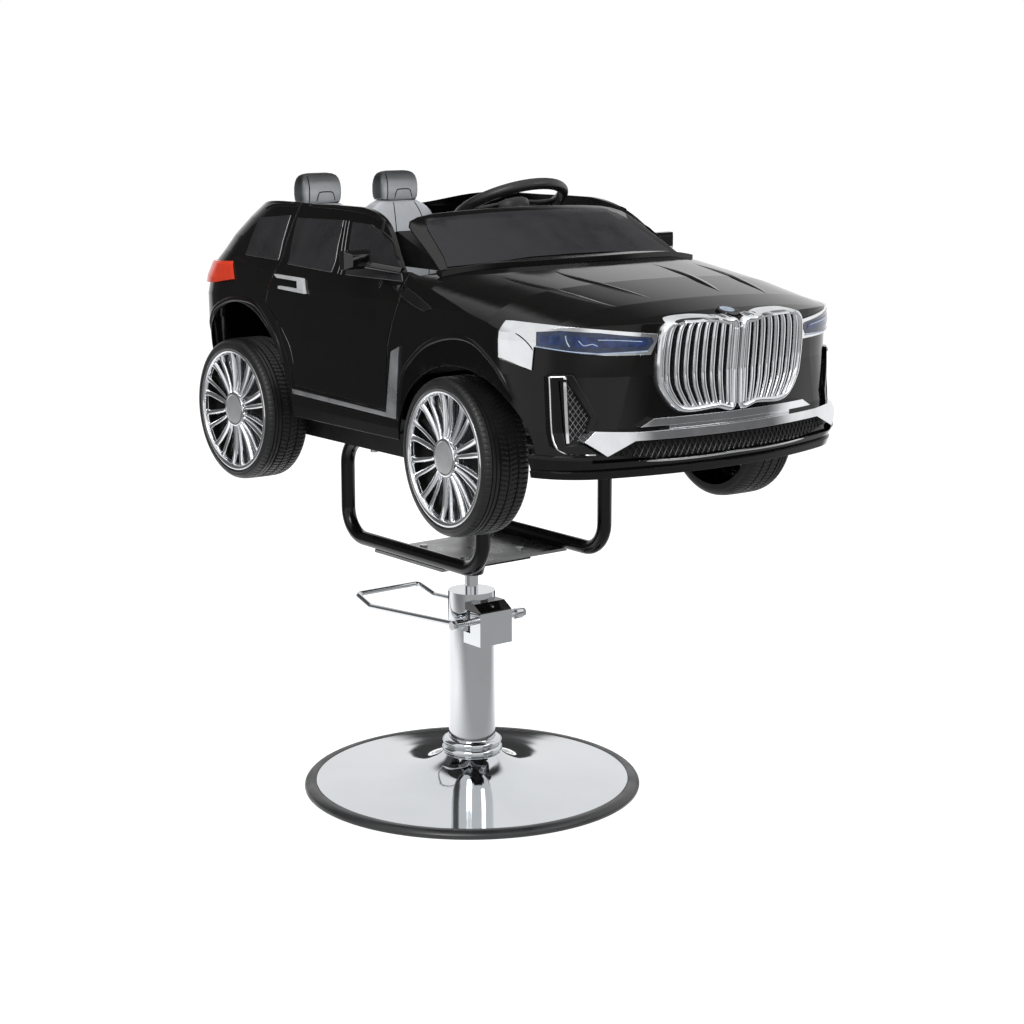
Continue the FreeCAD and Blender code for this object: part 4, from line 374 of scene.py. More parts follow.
def settled(spots):
    """Evens out the normals along a line of surface spots."""
    out = []
    for i, (point, _) in enumerate(spots):
        near = spots[max(0, i - 2):i + 3]
        out.append((point, sum((n for _, n in near), Vector()).normalized()))
    return out


def band(name, lines, aim, tree, width, height, look, body, closed=False, soft=True, step=0.006, **more):
    """One or more raised lines laid on a surface along aim."""
    form = {k: more.pop(k) for k in ("form", "taper", "sink") if k in more}
    job = Build()
    for points in lines:
        line = curve([Vector(p) for p in points], closed, step, soft)
        job.strip(settled([cast(tree, p, aim) for p in line]), width, height, closed=closed, **form)
    return job.make(name, look, body, **more)


def axes_of(aim):
    """Two directions across aim, the second as upright as can be."""
    aim = aim.normalized()
    if abs(aim.z) > 0.99:
        return Vector((1, 0, 0)), Vector((0, 1, 0))
    flat = Vector((0, 0, 1)).cross(aim).normalized()
    return flat, aim.cross(flat)


def inside(point, ring):
    found = False
    for i, a in enumerate(ring):
        b = ring[i - 1]
        if (a[1] > point[1]) != (b[1] > point[1]):
            if point[0] < (b[0] - a[0]) * (point[1] - a[1]) / (b[1] - a[1]) + a[0]:
                found = not found
    return found


def panel(name, outlines, aim, tree, lift, look, body, grid=0.008, soft=False, depth=0.0008, **more):
    """Thin skins that lie on a surface inside outlines seen along aim."""
    across, up = axes_of(aim)
    verts, faces = [], []
    for outline in outlines:
        ring3 = curve(outline, True, grid * 0.7, soft)
        middle = sum(ring3, Vector()) / len(ring3)
        ring = [((p - middle).dot(across), (p - middle).dot(up)) for p in ring3]
        flat = [Vector(p) for p in ring]
        low = [min(p[k] for p in ring) for k in (0, 1)]
        high = [max(p[k] for p in ring) for k in (0, 1)]
        for i in range(int((high[0] - low[0]) / grid) + 1):
            for k in range(int((high[1] - low[1]) / grid) + 1):
                spot = (low[0] + grid * (i + 0.5), low[1] + grid * (k + 0.5))
                if inside(spot, ring) and min((Vector(spot) - Vector(p)).length for p in ring) > grid * 0.4:
                    flat.append(Vector(spot))
        count = len(ring)
        rim = [(i, (i + 1) % count) for i in range(count)]
        points, _, tris, _, _, _ = geometry.delaunay_2d_cdt(flat, rim, [], 1, 1e-6)
        start = len(verts)
        for p in points:
            spot, normal = cast(tree, middle + across * p[0] + up * p[1], aim)
            verts.append(spot + normal * lift)
        faces += [tuple(start + i for i in tri) for tri in tris]
        edge_use = {}
        for tri in tris:
            for i, a in enumerate(tri):
                key = tuple(sorted((a, tri[i - 1])))
                edge_use[key] = edge_use.get(key, 0) + 1
        rim_ids = sorted({i for key, n in edge_use.items() if n == 1 for i in key})
        low_id = {}
        for i in rim_ids:
            low_id[i] = len(verts)
            verts.append(verts[start + i] + aim.normalized() * depth)
        faces += [(start + a, start + b, low_id[b], low_id[a]) for (a, b), n in edge_use.items() if n == 1]
    return make(name, verts, faces, look, body, **more)


def lattice(name, outlines, aim, tree, pitch, slant, width, height, look, body, **more):
    """Two crossing families of fine raised lines inside outlines seen along aim."""
    across, up = axes_of(aim)
    job, step = Build(), 0.003
    for outline in outlines:
        middle = sum((Vector(p) for p in outline), Vector()) / len(outline)
        ring = [((Vector(p) - middle).dot(across), (Vector(p) - middle).dot(up)) for p in outline]
        reach = max(math.hypot(*p) for p in ring) * 1.1
        for turn in (slant, math.pi - slant):
            run, off = (math.cos(turn), math.sin(turn)), (-math.sin(turn), math.cos(turn))
            for k in range(-int(reach / pitch) - 1, int(reach / pitch) + 2):
                group = []
                for s in range(-int(reach / step), int(reach / step) + 1):
                    spot = [off[a] * k * pitch + run[a] * s * step for a in (0, 1)]
                    if inside(spot, ring):
                        group.append(middle + across * spot[0] + up * spot[1])
                        continue
                    if len(group) > 2:
                        job.strip([cast(tree, p, aim) for p in group], width, height)
                    group = []
    return job.make(name, look, body, **more)


def lathe(profile, segments=96):
    """Rows of points turned about Z from (radius, height) pairs."""
    return [[Vector((r * math.cos(math.tau * k / segments), r * math.sin(math.tau * k / segments), z))
            for k in range(segments)] for r, z in profile]


def rounded(profile, step=0.002):
    """Smooth line through (radius, height) pairs in millimetres, in metres."""
    line = curve([Vector((r, z, 0)) / 1000 for r, z in profile], False, step)
    return [(p.x, p.y) for p in line]

# ---------------------------------------------------------------- base


def build_base():
    job = Build()
    line = rounded([(278.7, 12.6), (239.7, 15.9), (195.1, 20.0), (153.3, 24.6), (117.1, 30.4), (89.2, 37.6),
            (68.3, 47.3), (56.4, 56.0), (52.0, 60.0)], 0.004)
    job.rows(lathe([(0.2784, 0.0094)] + line + [(0.0430, 0.0602)], 160), caps=False)
    job.make("dome_cover", "chrome", "base", nodes=["base_cover"], slot="chrome", sharp=50)
    job = Build()
    line = rounded([(279.1, 12.4), (281.5, 13.6), (286.0, 14.0), (291.5, 13.2), (296.2, 10.6), (299.2, 6.8),
            (299.9, 3.0)])
    job.rows(lathe([(0.2791, 0.0005)] + line + [(0.2994, 0.0004)], 160), caps=False)
    job.make("edge_ring", "ring", "base", nodes=["base_ring"], slot="black_rubber", sharp=60)
    job = Build()
    line = rounded([(46.0, 60.3), (50.4, 61.3), (53.4, 64.3), (53.6, 69.0), (51.0, 72.6), (47.6, 73.9),
            (49.8, 75.6), (52.6, 78.6), (52.6, 82.6), (49.6, 86.0), (45.0, 87.6), (41.7, 88.0)], 0.0012)
    job.rows(lathe([(0.0417, 0.0601)] + line, 96), caps=False)
    job.make("collar_beads", "chrome", "base", nodes=["column_collar"], slot="chrome", sharp=60)


# ---------------------------------------------------------------- wheels

TREAD = [
    (300.0, 103.4, 0), (311.5, 104.4, 0), (314.6, 107.4, 0), (316.0, 108.6, 0), (316.3, 110.4, 0),
    (315.6, 111.4, 0), (315.7, 114.0, 0), (315.0, 116.6, 0), (313.6, 118.9, 1), (311.4, 120.7, 1),
    (308.6, 121.9, 1), (305.9, 122.5, 1), (305.5, 122.6, 0), (305.2, 120.4, 0), (303.8, 120.4, 0),
    (303.5, 122.8, 0), (298.9, 123.0, 0), (298.6, 120.8, 0), (297.1, 120.8, 0), (296.8, 123.0, 0),
    (292.2, 123.1, 0), (291.9, 120.6, 0), (289.6, 120.6, 0), (289.3, 123.2, 2), (286.0, 123.3, 3),
    (282.6, 123.3, 4), (279.4, 123.3, 5), (276.2, 123.3, 6), (275.9, 120.8, 0), (273.7, 120.8, 0),
    (273.4, 123.4, 6), (270.0, 123.4, 5), (266.8, 123.4, 4), (263.4, 123.4, 3), (260.2, 123.4, 2),
    (259.9, 120.8, 0), (257.7, 120.8, 0), (257.4, 123.3, 2), (254.0, 123.3, 3), (250.6, 123.2, 4),
    (247.4, 122.9, 5), (243.6, 122.2, 5), (239.8, 120.6, 5), (237.2, 118.4, 0), (235.6, 115.0, 0),
    (235.2, 110.0, 0), (235.2, 103.0, 0),
]


TYRE_STEPS, RIB_DEPTH, BLOCK_DEPTH = 480, 0.8, 1.8


def tyre_mesh():
    """Tyre turned about X: a ribbed shoulder, three fine grooves and staggered tread blocks."""
    job, rows = Build(), []
    for x, radius, kind in TREAD:
        row = []
        for k in range(TYRE_STEPS):
            deep = 0.0
            if kind == 1 and k % 6 == 0:
                deep = RIB_DEPTH
            elif kind > 1 and (2 * k + kind) % 10 < 2:
                deep = BLOCK_DEPTH
            angle = math.tau * k / TYRE_STEPS
            r = (radius - deep) / 1000
            row.append((x / 1000, r * math.cos(angle), r * math.sin(angle)))
        rows.append(row)
    job.rows(rows, caps=False)
    return job


SPOKE_TOP = [(27.5, 311.9), (34.0, 310.6), (45.0, 309.3), (62.0, 308.9), (80.0, 309.7), (92.0, 311.2),
        (99.0, 312.6)]
SPOKE_ROUND = [(0.0, -3.6), (0.10, -1.2), (0.34, 0.0), (0.62, -0.3), (0.86, -1.7), (1.0, -4.4)]
PAIRS, OPEN_FROM, OPEN_TO = 10, 31.65, 96.65


def line_at(table, place):
    for (a, u), (b, v) in zip(table, table[1:]):
        if place <= b:
            return u + (v - u) * max(0.0, (place - a) / (b - a))
    return table[-1][1]


def rim_mesh():
    """Wheel insert turned about X: ten pairs of rounded spokes with sunken openings between them, their
    floors black as painted shade.
    """
    pit, step = 297.4, math.tau / PAIRS
    stations = [27.5, 30.0, 31.6, 31.7, 34.0, 38.0, 44.0, 52.0, 60.0, 68.0, 76.0, 84.0, 90.0, 94.0, 96.6,
            96.7, 98.0, 99.2]

    def columns(r):
        part = (r - 30.0) / 68.0
        wide, slim = 0.125 + 0.110 * part, 0.045 + 0.065 * part
        if r > 88.0:
            wide -= 0.05 * (r - 88.0) / 10.0
        top = line_at(SPOKE_TOP, r)
        open_here = OPEN_FROM < r < OPEN_TO
        low = pit if open_here else top - 4.4
        half = [(0.0, low), (wide * 0.6, low), (wide, low)]
        half += [(wide + (0.5 - slim - wide) * t, top + lift) for t, lift in SPOKE_ROUND]
        low = pit + 1.5 if open_here else top - 2.4
        half += [(0.5 - slim, low), (0.5, low)]
        return half

    job, rows = Build(), []
    for r in stations:
        half = columns(r)
        whole = half + [(1.0 - s, x) for s, x in half[-2:0:-1]]
        row = []
        for pair in range(PAIRS):
            for s, x in whole:
                angle = step * (pair + s)
                row.append((x / 1000, r * math.cos(angle) / 1000, r * math.sin(angle) / 1000))
        rows.append(row)
    job.rows(rows, caps=False)
    per_row = len(rows[0])
    wide_cells = per_row // PAIRS
    half_cells = len(columns(50.0))
    for i in range(len(rows) - 1):
        for k in range(per_row):
            cell = k % wide_cells
            # painted shade: the floors of the openings take the black look
            dark = cell in (0, 1, wide_cells - 1, wide_cells - 2, half_cells - 2, half_cells - 1)
            if dark and OPEN_FROM < stations[i] < OPEN_TO:
                job.marks[i * per_row + k] = 1

    def turned(profile, mark):
        rows = [[(x / 1000, r * math.cos(math.tau * k / 96) / 1000, r * math.sin(math.tau * k / 96) / 1000)
                for k in range(96)] for r, x in profile]
        job.rows(rows, caps=False, mark=mark)

    turned([(98.6, 309.0), (98.8, 313.6), (99.8, 315.4), (101.6, 316.3), (104.6, 316.4), (106.4, 315.6),
            (107.2, 314.0), (107.2, 306.0)], 0)
    turned([(30.5, 309.0), (29.4, 312.8), (27.4, 314.0), (25.4, 313.8), (24.6, 313.0)], 0)
    turned([(24.8, 313.1), (24.0, 313.5), (12.0, 313.9), (0.05, 314.0)], 2)
    return job


def wheel_matrix(side, y, steer):
    turn = Matrix.Rotation(0.0 if side > 0 else math.pi, 4, "Z")
    rest = Matrix.Translation(mm(0, y, AXLE_Z)) @ turn
    if steer:
        pivot = mm(side * KINGPIN_X, FRONT_AXLE, 0)
        rest = (Matrix.Translation(pivot) @ Matrix.Rotation(math.radians(-REST_STEER), 4, "Z")
                @ Matrix.Translation(-pivot) @ rest)
    return rest


def build_wheels():
    tyre, rim = tyre_mesh(), rim_mesh()
    shared = {}
    for where, y, steer in (("front", FRONT_AXLE, True), ("rear", REAR_AXLE, False)):
        for side, hand in ((1, "left"), (-1, "right")):
            matrix, body = wheel_matrix(side, y, steer), f"wheel_{where}_{hand}"
            for job, kind, looks, slot in ((tyre, "tyre", ["tyre"], "tyre"),
                    (rim, "rim", ["bright", "mesh", "hub"], "chrome_plastic")):
                piece = job.make(f"{kind}_{where}_{hand}_turned", looks, body,
                        nodes=[f"{kind}_{where}_{hand}"], slot=slot, sharp=38, matrix=matrix,
                        share=shared.get(kind))
                shared[kind] = piece.data


# ---------------------------------------------------------------- front

LOBE = [(0.012, 0.03), (0.30, 0.0), (0.72, 0.0), (0.94, 0.22), (1.0, 0.46), (0.985, 0.84), (0.90, 0.975),
        (0.74, 1.02), (0.42, 1.02), (0.20, 0.985), (0.012, 0.88)]
RING_FORM = [(0.0, 0.0), (0.3, 5.0), (1.4, 9.0), (3.4, 11.4), (6.0, 11.8), (8.4, 10.4), (10.4, 7.0),
        (11.4, 2.0), (11.5, 0.0)]

# Along Y: where lines to the nose start, and how far the rings and slats reach forwards and back.
CAST_Y, BAR_TIP = -655.0, -665.0  # millimetres
RING_TIP, RING_SEAT, BAR_SEAT = -0.6665, -0.625, -0.628  # metres


def lobe_ring(side):
    flat = [Vector((side * 147.0 * u, 762.0 + 137.0 * v, 0)) for u, v in LOBE]
    line = []
    for p in curve(flat, True, 3.0):
        line.append(Vector((side * max(1.6, side * p.x), p.y, 0)))
    return line


def build_grille(tree):
    """Chrome rings that follow the front of the body, with rounded upright slats inside."""
    job = Build()
    for side in (1, -1):
        ring = lobe_ring(side)
        middle = sum(ring, Vector()) / len(ring)
        rows, crown = [], []
        for i, p in enumerate(ring):
            run = (ring[(i + 1) % len(ring)] - ring[i - 1]).normalized()
            inward = Vector((-run.y, run.x, 0))
            if inward.dot(middle - p) < 0:
                inward = -inward
            row = []
            for off, rise in RING_FORM:
                q = p + inward * off
                spot = cast(tree, mm(q.x, CAST_Y, q.y), FRONT)[0]
                y = max(RING_TIP, min(spot.y, RING_SEAT) - rise / 1000)
                row.append(Vector((q.x / 1000, y, q.y / 1000)))
            rows.append(row)
            crown.append(inward.y < -0.45)
        start = len(job.marks)
        job.rows(rows, closed=True)
        wide = len(RING_FORM)
        # painted highlight: the top outer flank of each ring takes the pale rough look
        for i in range(len(rows)):
            if crown[i]:
                job.marks[start + i * wide:start + i * wide + 3] = [1, 1, 1]
    job.make("grille_rings", ["bright", "satin_and_highlight"], "car", nodes=["grille_frame"], slot="chrome_plastic",
        sharp=50)
    job = Build()
    count, half, deep = 8, 4.4, 9.0
    form = [(-1, 0), (-0.98, 0.55), (-0.86, 0.86), (-0.62, 0.97), (0, 1), (0.62, 0.97), (0.86, 0.86),
            (0.98, 0.55), (1, 0)]
    for side in (1, -1):
        ring = [(p.x, p.y) for p in lobe_ring(side)]
        for k in range(count):
            f = (k + 0.55) / count
            rows = []
            for z in range(768, 903, 3):
                cross = [a[0] + (b[0] - a[0]) * (z - a[1]) / (b[1] - a[1])
                        for a, b in zip(ring, ring[1:] + ring[:1]) if (a[1] > z) != (b[1] > z)]
                if len(cross) < 2:
                    continue
                far = max(abs(c) for c in cross) - 10.0
                x = side * (9.0 + (far - 9.0) * f)
                spot = cast(tree, mm(x, CAST_Y, z), FRONT)[0]
                y = min(spot.y, BAR_SEAT) * 1000
                rows.append([mm(x + half * u, max(BAR_TIP, y - deep * v), z) for u, v in form])
            job.rows(rows)
    job.make("grille_bars", "bright", "car", nodes=["grille_slats"], slot="chrome_plastic", sharp=50)


def turned_to(side, points):
    """Points written for the right of the car, turned to either side."""
    return [Vector((-side * p.x, p.y, p.z)) for p in points]


def build_lamps():
    lamps = surface("headlights", "body_shell")
    glass = [mm(-290, -541, 884), mm(-266, -566, 887), mm(-222, -602, 884), mm(-156, -640, 875),
            mm(-153, -641, 868), mm(-162, -638, 857), mm(-233, -609, 855), mm(-262, -583, 858),
            mm(-292, -543, 864)]
    cells = [[mm(-287, -546, 879), mm(-269, -567, 880), mm(-267, -572, 867), mm(-288, -549, 866)],
            [mm(-259, -578, 879), mm(-212, -608, 877), mm(-165, -636, 873), mm(-164, -638, 864),
            mm(-212, -612, 863), mm(-256, -586, 863)]]
    hooks = [[mm(-263, -574, 880), mm(-264, -578, 871), mm(-262, -582, 864)],
            [mm(-250, -588, 873), mm(-246, -594, 866), mm(-236, -602, 868), mm(-230, -606, 865)],
            [mm(-226, -602, 874), mm(-200, -616, 873), mm(-170, -634, 870)]]
    edge = [mm(-292, -541, 863), mm(-262, -583, 857), mm(-233, -609, 854), mm(-162, -638, 855)]
    fold = [mm(-306, -494, 886), mm(-303, -510, 880), mm(-298, -526, 870), mm(-295, -538, 858),
            mm(-296, -538, 846)]
    for side, hand in SIDES:
        aim = Vector((-side * 0.62, 0.78, 0.0))
        panel(f"lamp_glass_{hand}", [turned_to(side, glass)], aim, lamps, 0.0008, "lens", "car",
                slot="lamp_lens", grid=0.006)
        panel(f"lamp_cells_{hand}", [turned_to(side, c) for c in cells], aim, lamps, 0.0014, "cell", "car",
                slot="lamp_lens", grid=0.006)
        band(f"lamp_hooks_{hand}", [turned_to(side, h) for h in hooks], aim, lamps, 0.0026, 0.0024, "ice",
                "car", slot="lamp_lens")
        band(f"lamp_edge_{hand}", [turned_to(side, edge)], aim, lamps, 0.0022, 0.0020, "ice", "car",
                slot="lamp_lens")
        # painted shade: a matte black band along the fold of the chrome lamp wedge
        band(f"lamp_fold_shade_{hand}", [turned_to(side, fold)], aim, lamps, 0.0034, 0.0008, "liner", "car",
                slot="gloss_black", taper=0.3)


def build_intakes():
    nose = surface("body_shell", "lower_grille", "lower_lip", "intake_frames")
    back = surface("body_shell", "lower_grille", "lower_lip")
    outer = [mm(-282.5, -561, 820), mm(-282.5, -563, 800), mm(-282.5, -567, 745), mm(-281, -572, 724),
            mm(-276, -580, 713), mm(-262, -596, 709), mm(-240, -616, 709)]
    bar = [mm(-268, -580, 821), mm(-268, -583, 770), mm(-267, -586, 724)]
    top = [mm(-282, -562, 820), mm(-268, -580, 821)]
    mouth = [mm(-263, -578, 818), mm(-250, -586, 806), mm(-237, -603, 776), mm(-235, -607, 758),
            mm(-244, -600, 738), mm(-264, -584, 724)]
    for side, hand in SIDES:
        aim = Vector((-side * 0.6, 0.8, 0.0))
        band(f"intake_line_{hand}", [turned_to(side, outer), turned_to(side, top)], aim, nose, 0.0034, 0.0022,
                "bright", "car", slot="chrome_plastic", step=0.004)
        band(f"intake_bar_{hand}", [turned_to(side, bar)], aim, nose, 0.0050, 0.0026, "bright", "car",
                slot="chrome_plastic", form=FLAT_BAND)
        panel(f"intake_back_{hand}", [turned_to(side, mouth)], aim, back, 0.0006, "mesh", "car",
                slot="mesh_black", grid=0.008)
        lattice(f"intake_mesh_{hand}", [turned_to(side, mouth)], aim, back, 0.0064, 0.95, 0.0014, 0.0016,
                "wire", "car", slot="chrome_plastic")


def build_front(tree):
    build_grille(tree)
    build_lamps()
    build_intakes()
    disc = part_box("badge_disc")
    middle = (Vector(disc[0]) + Vector(disc[1])) / 2
    round_face = [middle + Vector((0.0115 * math.cos(a), 0.0115 * math.sin(a), 0))
            for a in (math.tau * k / 24 for k in range(24))]
    panel("badge_face", [round_face], TOP, surface("badge_disc"), 0.0004, "pale", "car", grid=0.004,
            depth=0.0003, slot="chrome_plastic")
    # painted highlight: a chrome strip along the top edge of the lower lip stands for the highlight on it
    lip = [mm(x, CAST_Y, z) for x, z in ((-176, 695), (-113, 693), (-60, 693), (0, 694), (60, 693),
            (113, 693), (176, 695))]
    band("lip_highlight_strip", [lip], FRONT, surface("lower_lip", "body_shell", "lower_grille"), 0.0050, 0.0016,
            "bright", "car", slot="chrome_plastic", taper=0.12)
    low = surface("lower_grille", "body_shell", "lower_lip")
    mouth = [mm(-222, -620, 708), mm(-192, -640, 724), mm(192, -640, 724), mm(222, -620, 708),
            mm(153, -640, 698), mm(-153, -640, 698)]
    lattice("lower_comb", [mouth], FRONT, low, 0.0085, 1.02, 0.0024, 0.0030, "comb", "car",
            slot="mesh_black")


# ---------------------------------------------------------------- body sides and hood


def yz(points, side, x=0.30):
    """Side-view points in millimetres, on the left (+1) or the right (-1) of the car."""
    return [Vector((side * x, y / 1000, z / 1000)) for y, z in points]


QUARTER = [(256, 1005), (163, 1013), (156, 940), (263, 942)]
REAR_GLASS = [(139, 1010), (2, 1013), (-14, 932), (122, 936)]
FRONT_GLASS = [(-26, 1011), (-80, 1010), (-113, 1002), (-152, 985), (-192, 950), (-214, 932), (-56, 931)]
PILLAR = [[(-5, 1013), (-33, 931)], [(-14, 1013), (-43, 930)]]


def build_sides():
    for side, hand in SIDES:
        aim = Vector((-side, 0, 0))
        door, door_body = surface(f"door_{hand}"), f"door_{hand}"
        shell = surface("body_shell", "rear_windows")
        panel(f"rear_door_window_{hand}", [yz(REAR_GLASS, side)], aim, door, 0.0012, "window", door_body,
                slot="window_dark", grid=0.012)
        panel(f"front_door_window_{hand}", [yz(FRONT_GLASS, side)], aim, door, 0.0012, "window", door_body,
                slot="window_dark", grid=0.012)
        panel(f"quarter_window_{hand}", [yz(QUARTER, side)], aim, shell, 0.0012, "window", "car",
                slot="window_dark", grid=0.012)
        # seams round the windows, the pillar lines and the quarter window: raised bands, pale as painted
        # highlight
        band(f"window_seams_{hand}", [yz(p, side) for p in PILLAR] + [
            yz(REAR_GLASS + REAR_GLASS[:1], side), yz(FRONT_GLASS + FRONT_GLASS[:1], side)], aim, door,
            0.0016, 0.0016, "hair", door_body, soft=False, slot="chrome_plastic")
        band(f"quarter_seam_{hand}", [yz(QUARTER + QUARTER[:1], side)], aim, shell, 0.0014, 0.0016, "hair",
                "car", soft=False, slot="chrome_plastic")
        # painted highlight: pale lines on the door's rear-lower and front edges
        band(f"door_edge_highlights_{hand}", [yz([(121, 838), (93, 803), (84, 766)], side),
                yz([(-221, 906), (-213, 871), (-199, 830)], side)], aim, door,
                0.0014, 0.0009, "hair", door_body, slot="chrome_plastic", taper=0.2)
        whole = surface("body_shell", f"door_{hand}")
        band(f"rear_belt_{hand}", [yz([(311, 939), (230, 928), (170, 920)], side)], aim, shell, 0.004,
                0.0012, "paint", "car", slot="gloss_black", taper=0.3)
        arch = [(-208, 702), (-213, 730), (-223, 760), (-233, 786), (-251, 806), (-298, 838), (-358, 855),
                (-411, 854), (-452, 835), (-480, 812), (-503, 780)]
        edge = [(-213, 704), (-219, 728), (-234, 756), (-252, 775), (-275, 790), (-309, 804), (-338, 810),
                (-359, 812), (-400, 811), (-435, 802), (-463, 790), (-496, 775)]
        # painted shade: a matte black sheet on the body above the arch edge, for the deep shade of the front
        # wheel opening
        panel(f"painted_shade_sheet_{hand}", [yz([(y, z + 2) for y, z in arch] + edge[::-1], side, 0.29)], aim,
                surface("body_shell"), 0.0005, "liner", "car", slot="black_plastic", grid=0.008)
        rear_arch = [(372, 790), (360, 815), (329, 843), (270, 862), (201, 860), (158, 832), (126, 790),
                (108, 700)]
        band(f"arch_lips_{hand}", [yz([(y, z + 5) for y, z in arch], side, 0.29),
                yz([(y, z + 5) for y, z in rear_arch], side, 0.29)], aim,
                surface("body_shell"), 0.009, 0.0030, "paint", "car", slot="gloss_black", taper=0.08)
        rail = [(4, 1031), (-55, 1028), (-98, 1020), (-138, 1009), (-174, 988), (-205, 962)]
        band(f"roof_rail_{hand}", [yz([(122, 1032), (60, 1032)] + rail, side)], aim, door, 0.0070, 0.0024,
                "paint", door_body, slot="gloss_black", taper=0.05)
        band(f"rear_rail_{hand}", [yz([(256, 1017), (236, 1027), (152, 1031)], side)], aim, shell, 0.0070,
                0.0024, "paint", "car", slot="gloss_black", taper=0.1)
        wedge = [(-196, 922), (-218, 928), (-262, 916), (-311, 899), (-290, 893), (-240, 905)]
        panel(f"pillar_foot_{hand}", [yz(wedge, side, 0.28)], aim, whole, 0.0016, "black_gloss", "car",
                slot="gloss_black", grid=0.012)


def build_hood():
    hood = surface("body_shell")
    ridges = []
    for side in (1, -1):
        ridges.append([mm(side * x, y, 950) for x, y in ((203, -326), (198, -354), (192, -418), (178, -481),
                (163, -541), (146, -574))])
        ridges.append([mm(side * x, y, 950) for x, y in ((97, -338), (104, -372), (100, -427), (88, -485),
                (76, -532), (70, -560))])
    band("hood_ridges", ridges, TOP, hood, 0.026, 0.0026, "paint", "car", slot="gloss_black", taper=0.4,
            sink=0.0004, form=[(-1, 0), (-0.7, 0.16), (-0.35, 0.56), (0, 0.93), (0.12, 1), (0.3, 0.8),
            (0.6, 0.3), (1, 0)])


SHIELD = [(0, 1033.5), (74, 1032.5), (143, 1029.5), (178, 1027), (203, 1023), (222, 1017), (232, 1009),
        (236, 999), (240, 982), (246, 962), (252, 947)]
SHIELD_GLASS = [(0, 1027), (74, 1026), (143, 1023), (178, 1020), (200, 1014.5), (209, 1005), (215, 990),
        (226, 966), (236, 953), (160, 957), (80, 962), (0, 963)]


def shield_y(x, z):
    """Depth of the windshield's face, which narrows and leans back as it rises, in millimetres."""
    foot, rise, foot_half, narrowing, foot_y, lean, bow = 945.0, 73.0, 262.0, 41.0, -300.0, 124.0, 40.0
    half = foot_half - narrowing * (z - foot) / rise
    return foot_y + (z - foot) * lean / rise + bow * (x / half) ** 2


def build_shield():
    """Low dark windshield with rounded upper corners and a glossy border."""
    job = Build()
    job.rows([[mm(x, shield_y(x, z), z) for x in range(-264, 265, 6)] for z in range(936, 1042, 4)],
            wrap=False, caps=False)
    face = BVHTree.FromPolygons(job.verts, job.faces)

    def both_ways(points, z_low):
        line = [mm(x, -200, z) for x, z in points]
        return [Vector((-p.x, p.y, p.z)) for p in reversed(line)] + line[1:] + z_low
    rim = both_ways(SHIELD, [])
    panel("windshield_skin", [rim], FRONT, face, 0.0, "paint", "car", grid=0.016, depth=0.004,
            nodes=["windshield"], slot="window_dark")
    half = [mm(x, -200, z) for x, z in SHIELD_GLASS]
    glass = half + [Vector((-p.x, p.y, p.z)) for p in reversed(half[1:-1])]
    panel("windshield_glass", [glass], FRONT, face, 0.0012, "shield", "car", grid=0.014, slot="window_dark")


# ---------------------------------------------------------------- seats


def ring_of(cx, cy, z, half, deep, squareness=0.42, count=56):
    """Level ring with rounded corners."""
    out = []
    for k in range(count):
        a = math.tau * k / count
        c, s = math.cos(a), math.sin(a)
        out.append(mm(cx + half * math.copysign(abs(c) ** squareness, c),
                cy + deep * math.copysign(abs(s) ** squareness, s), z))
    return out


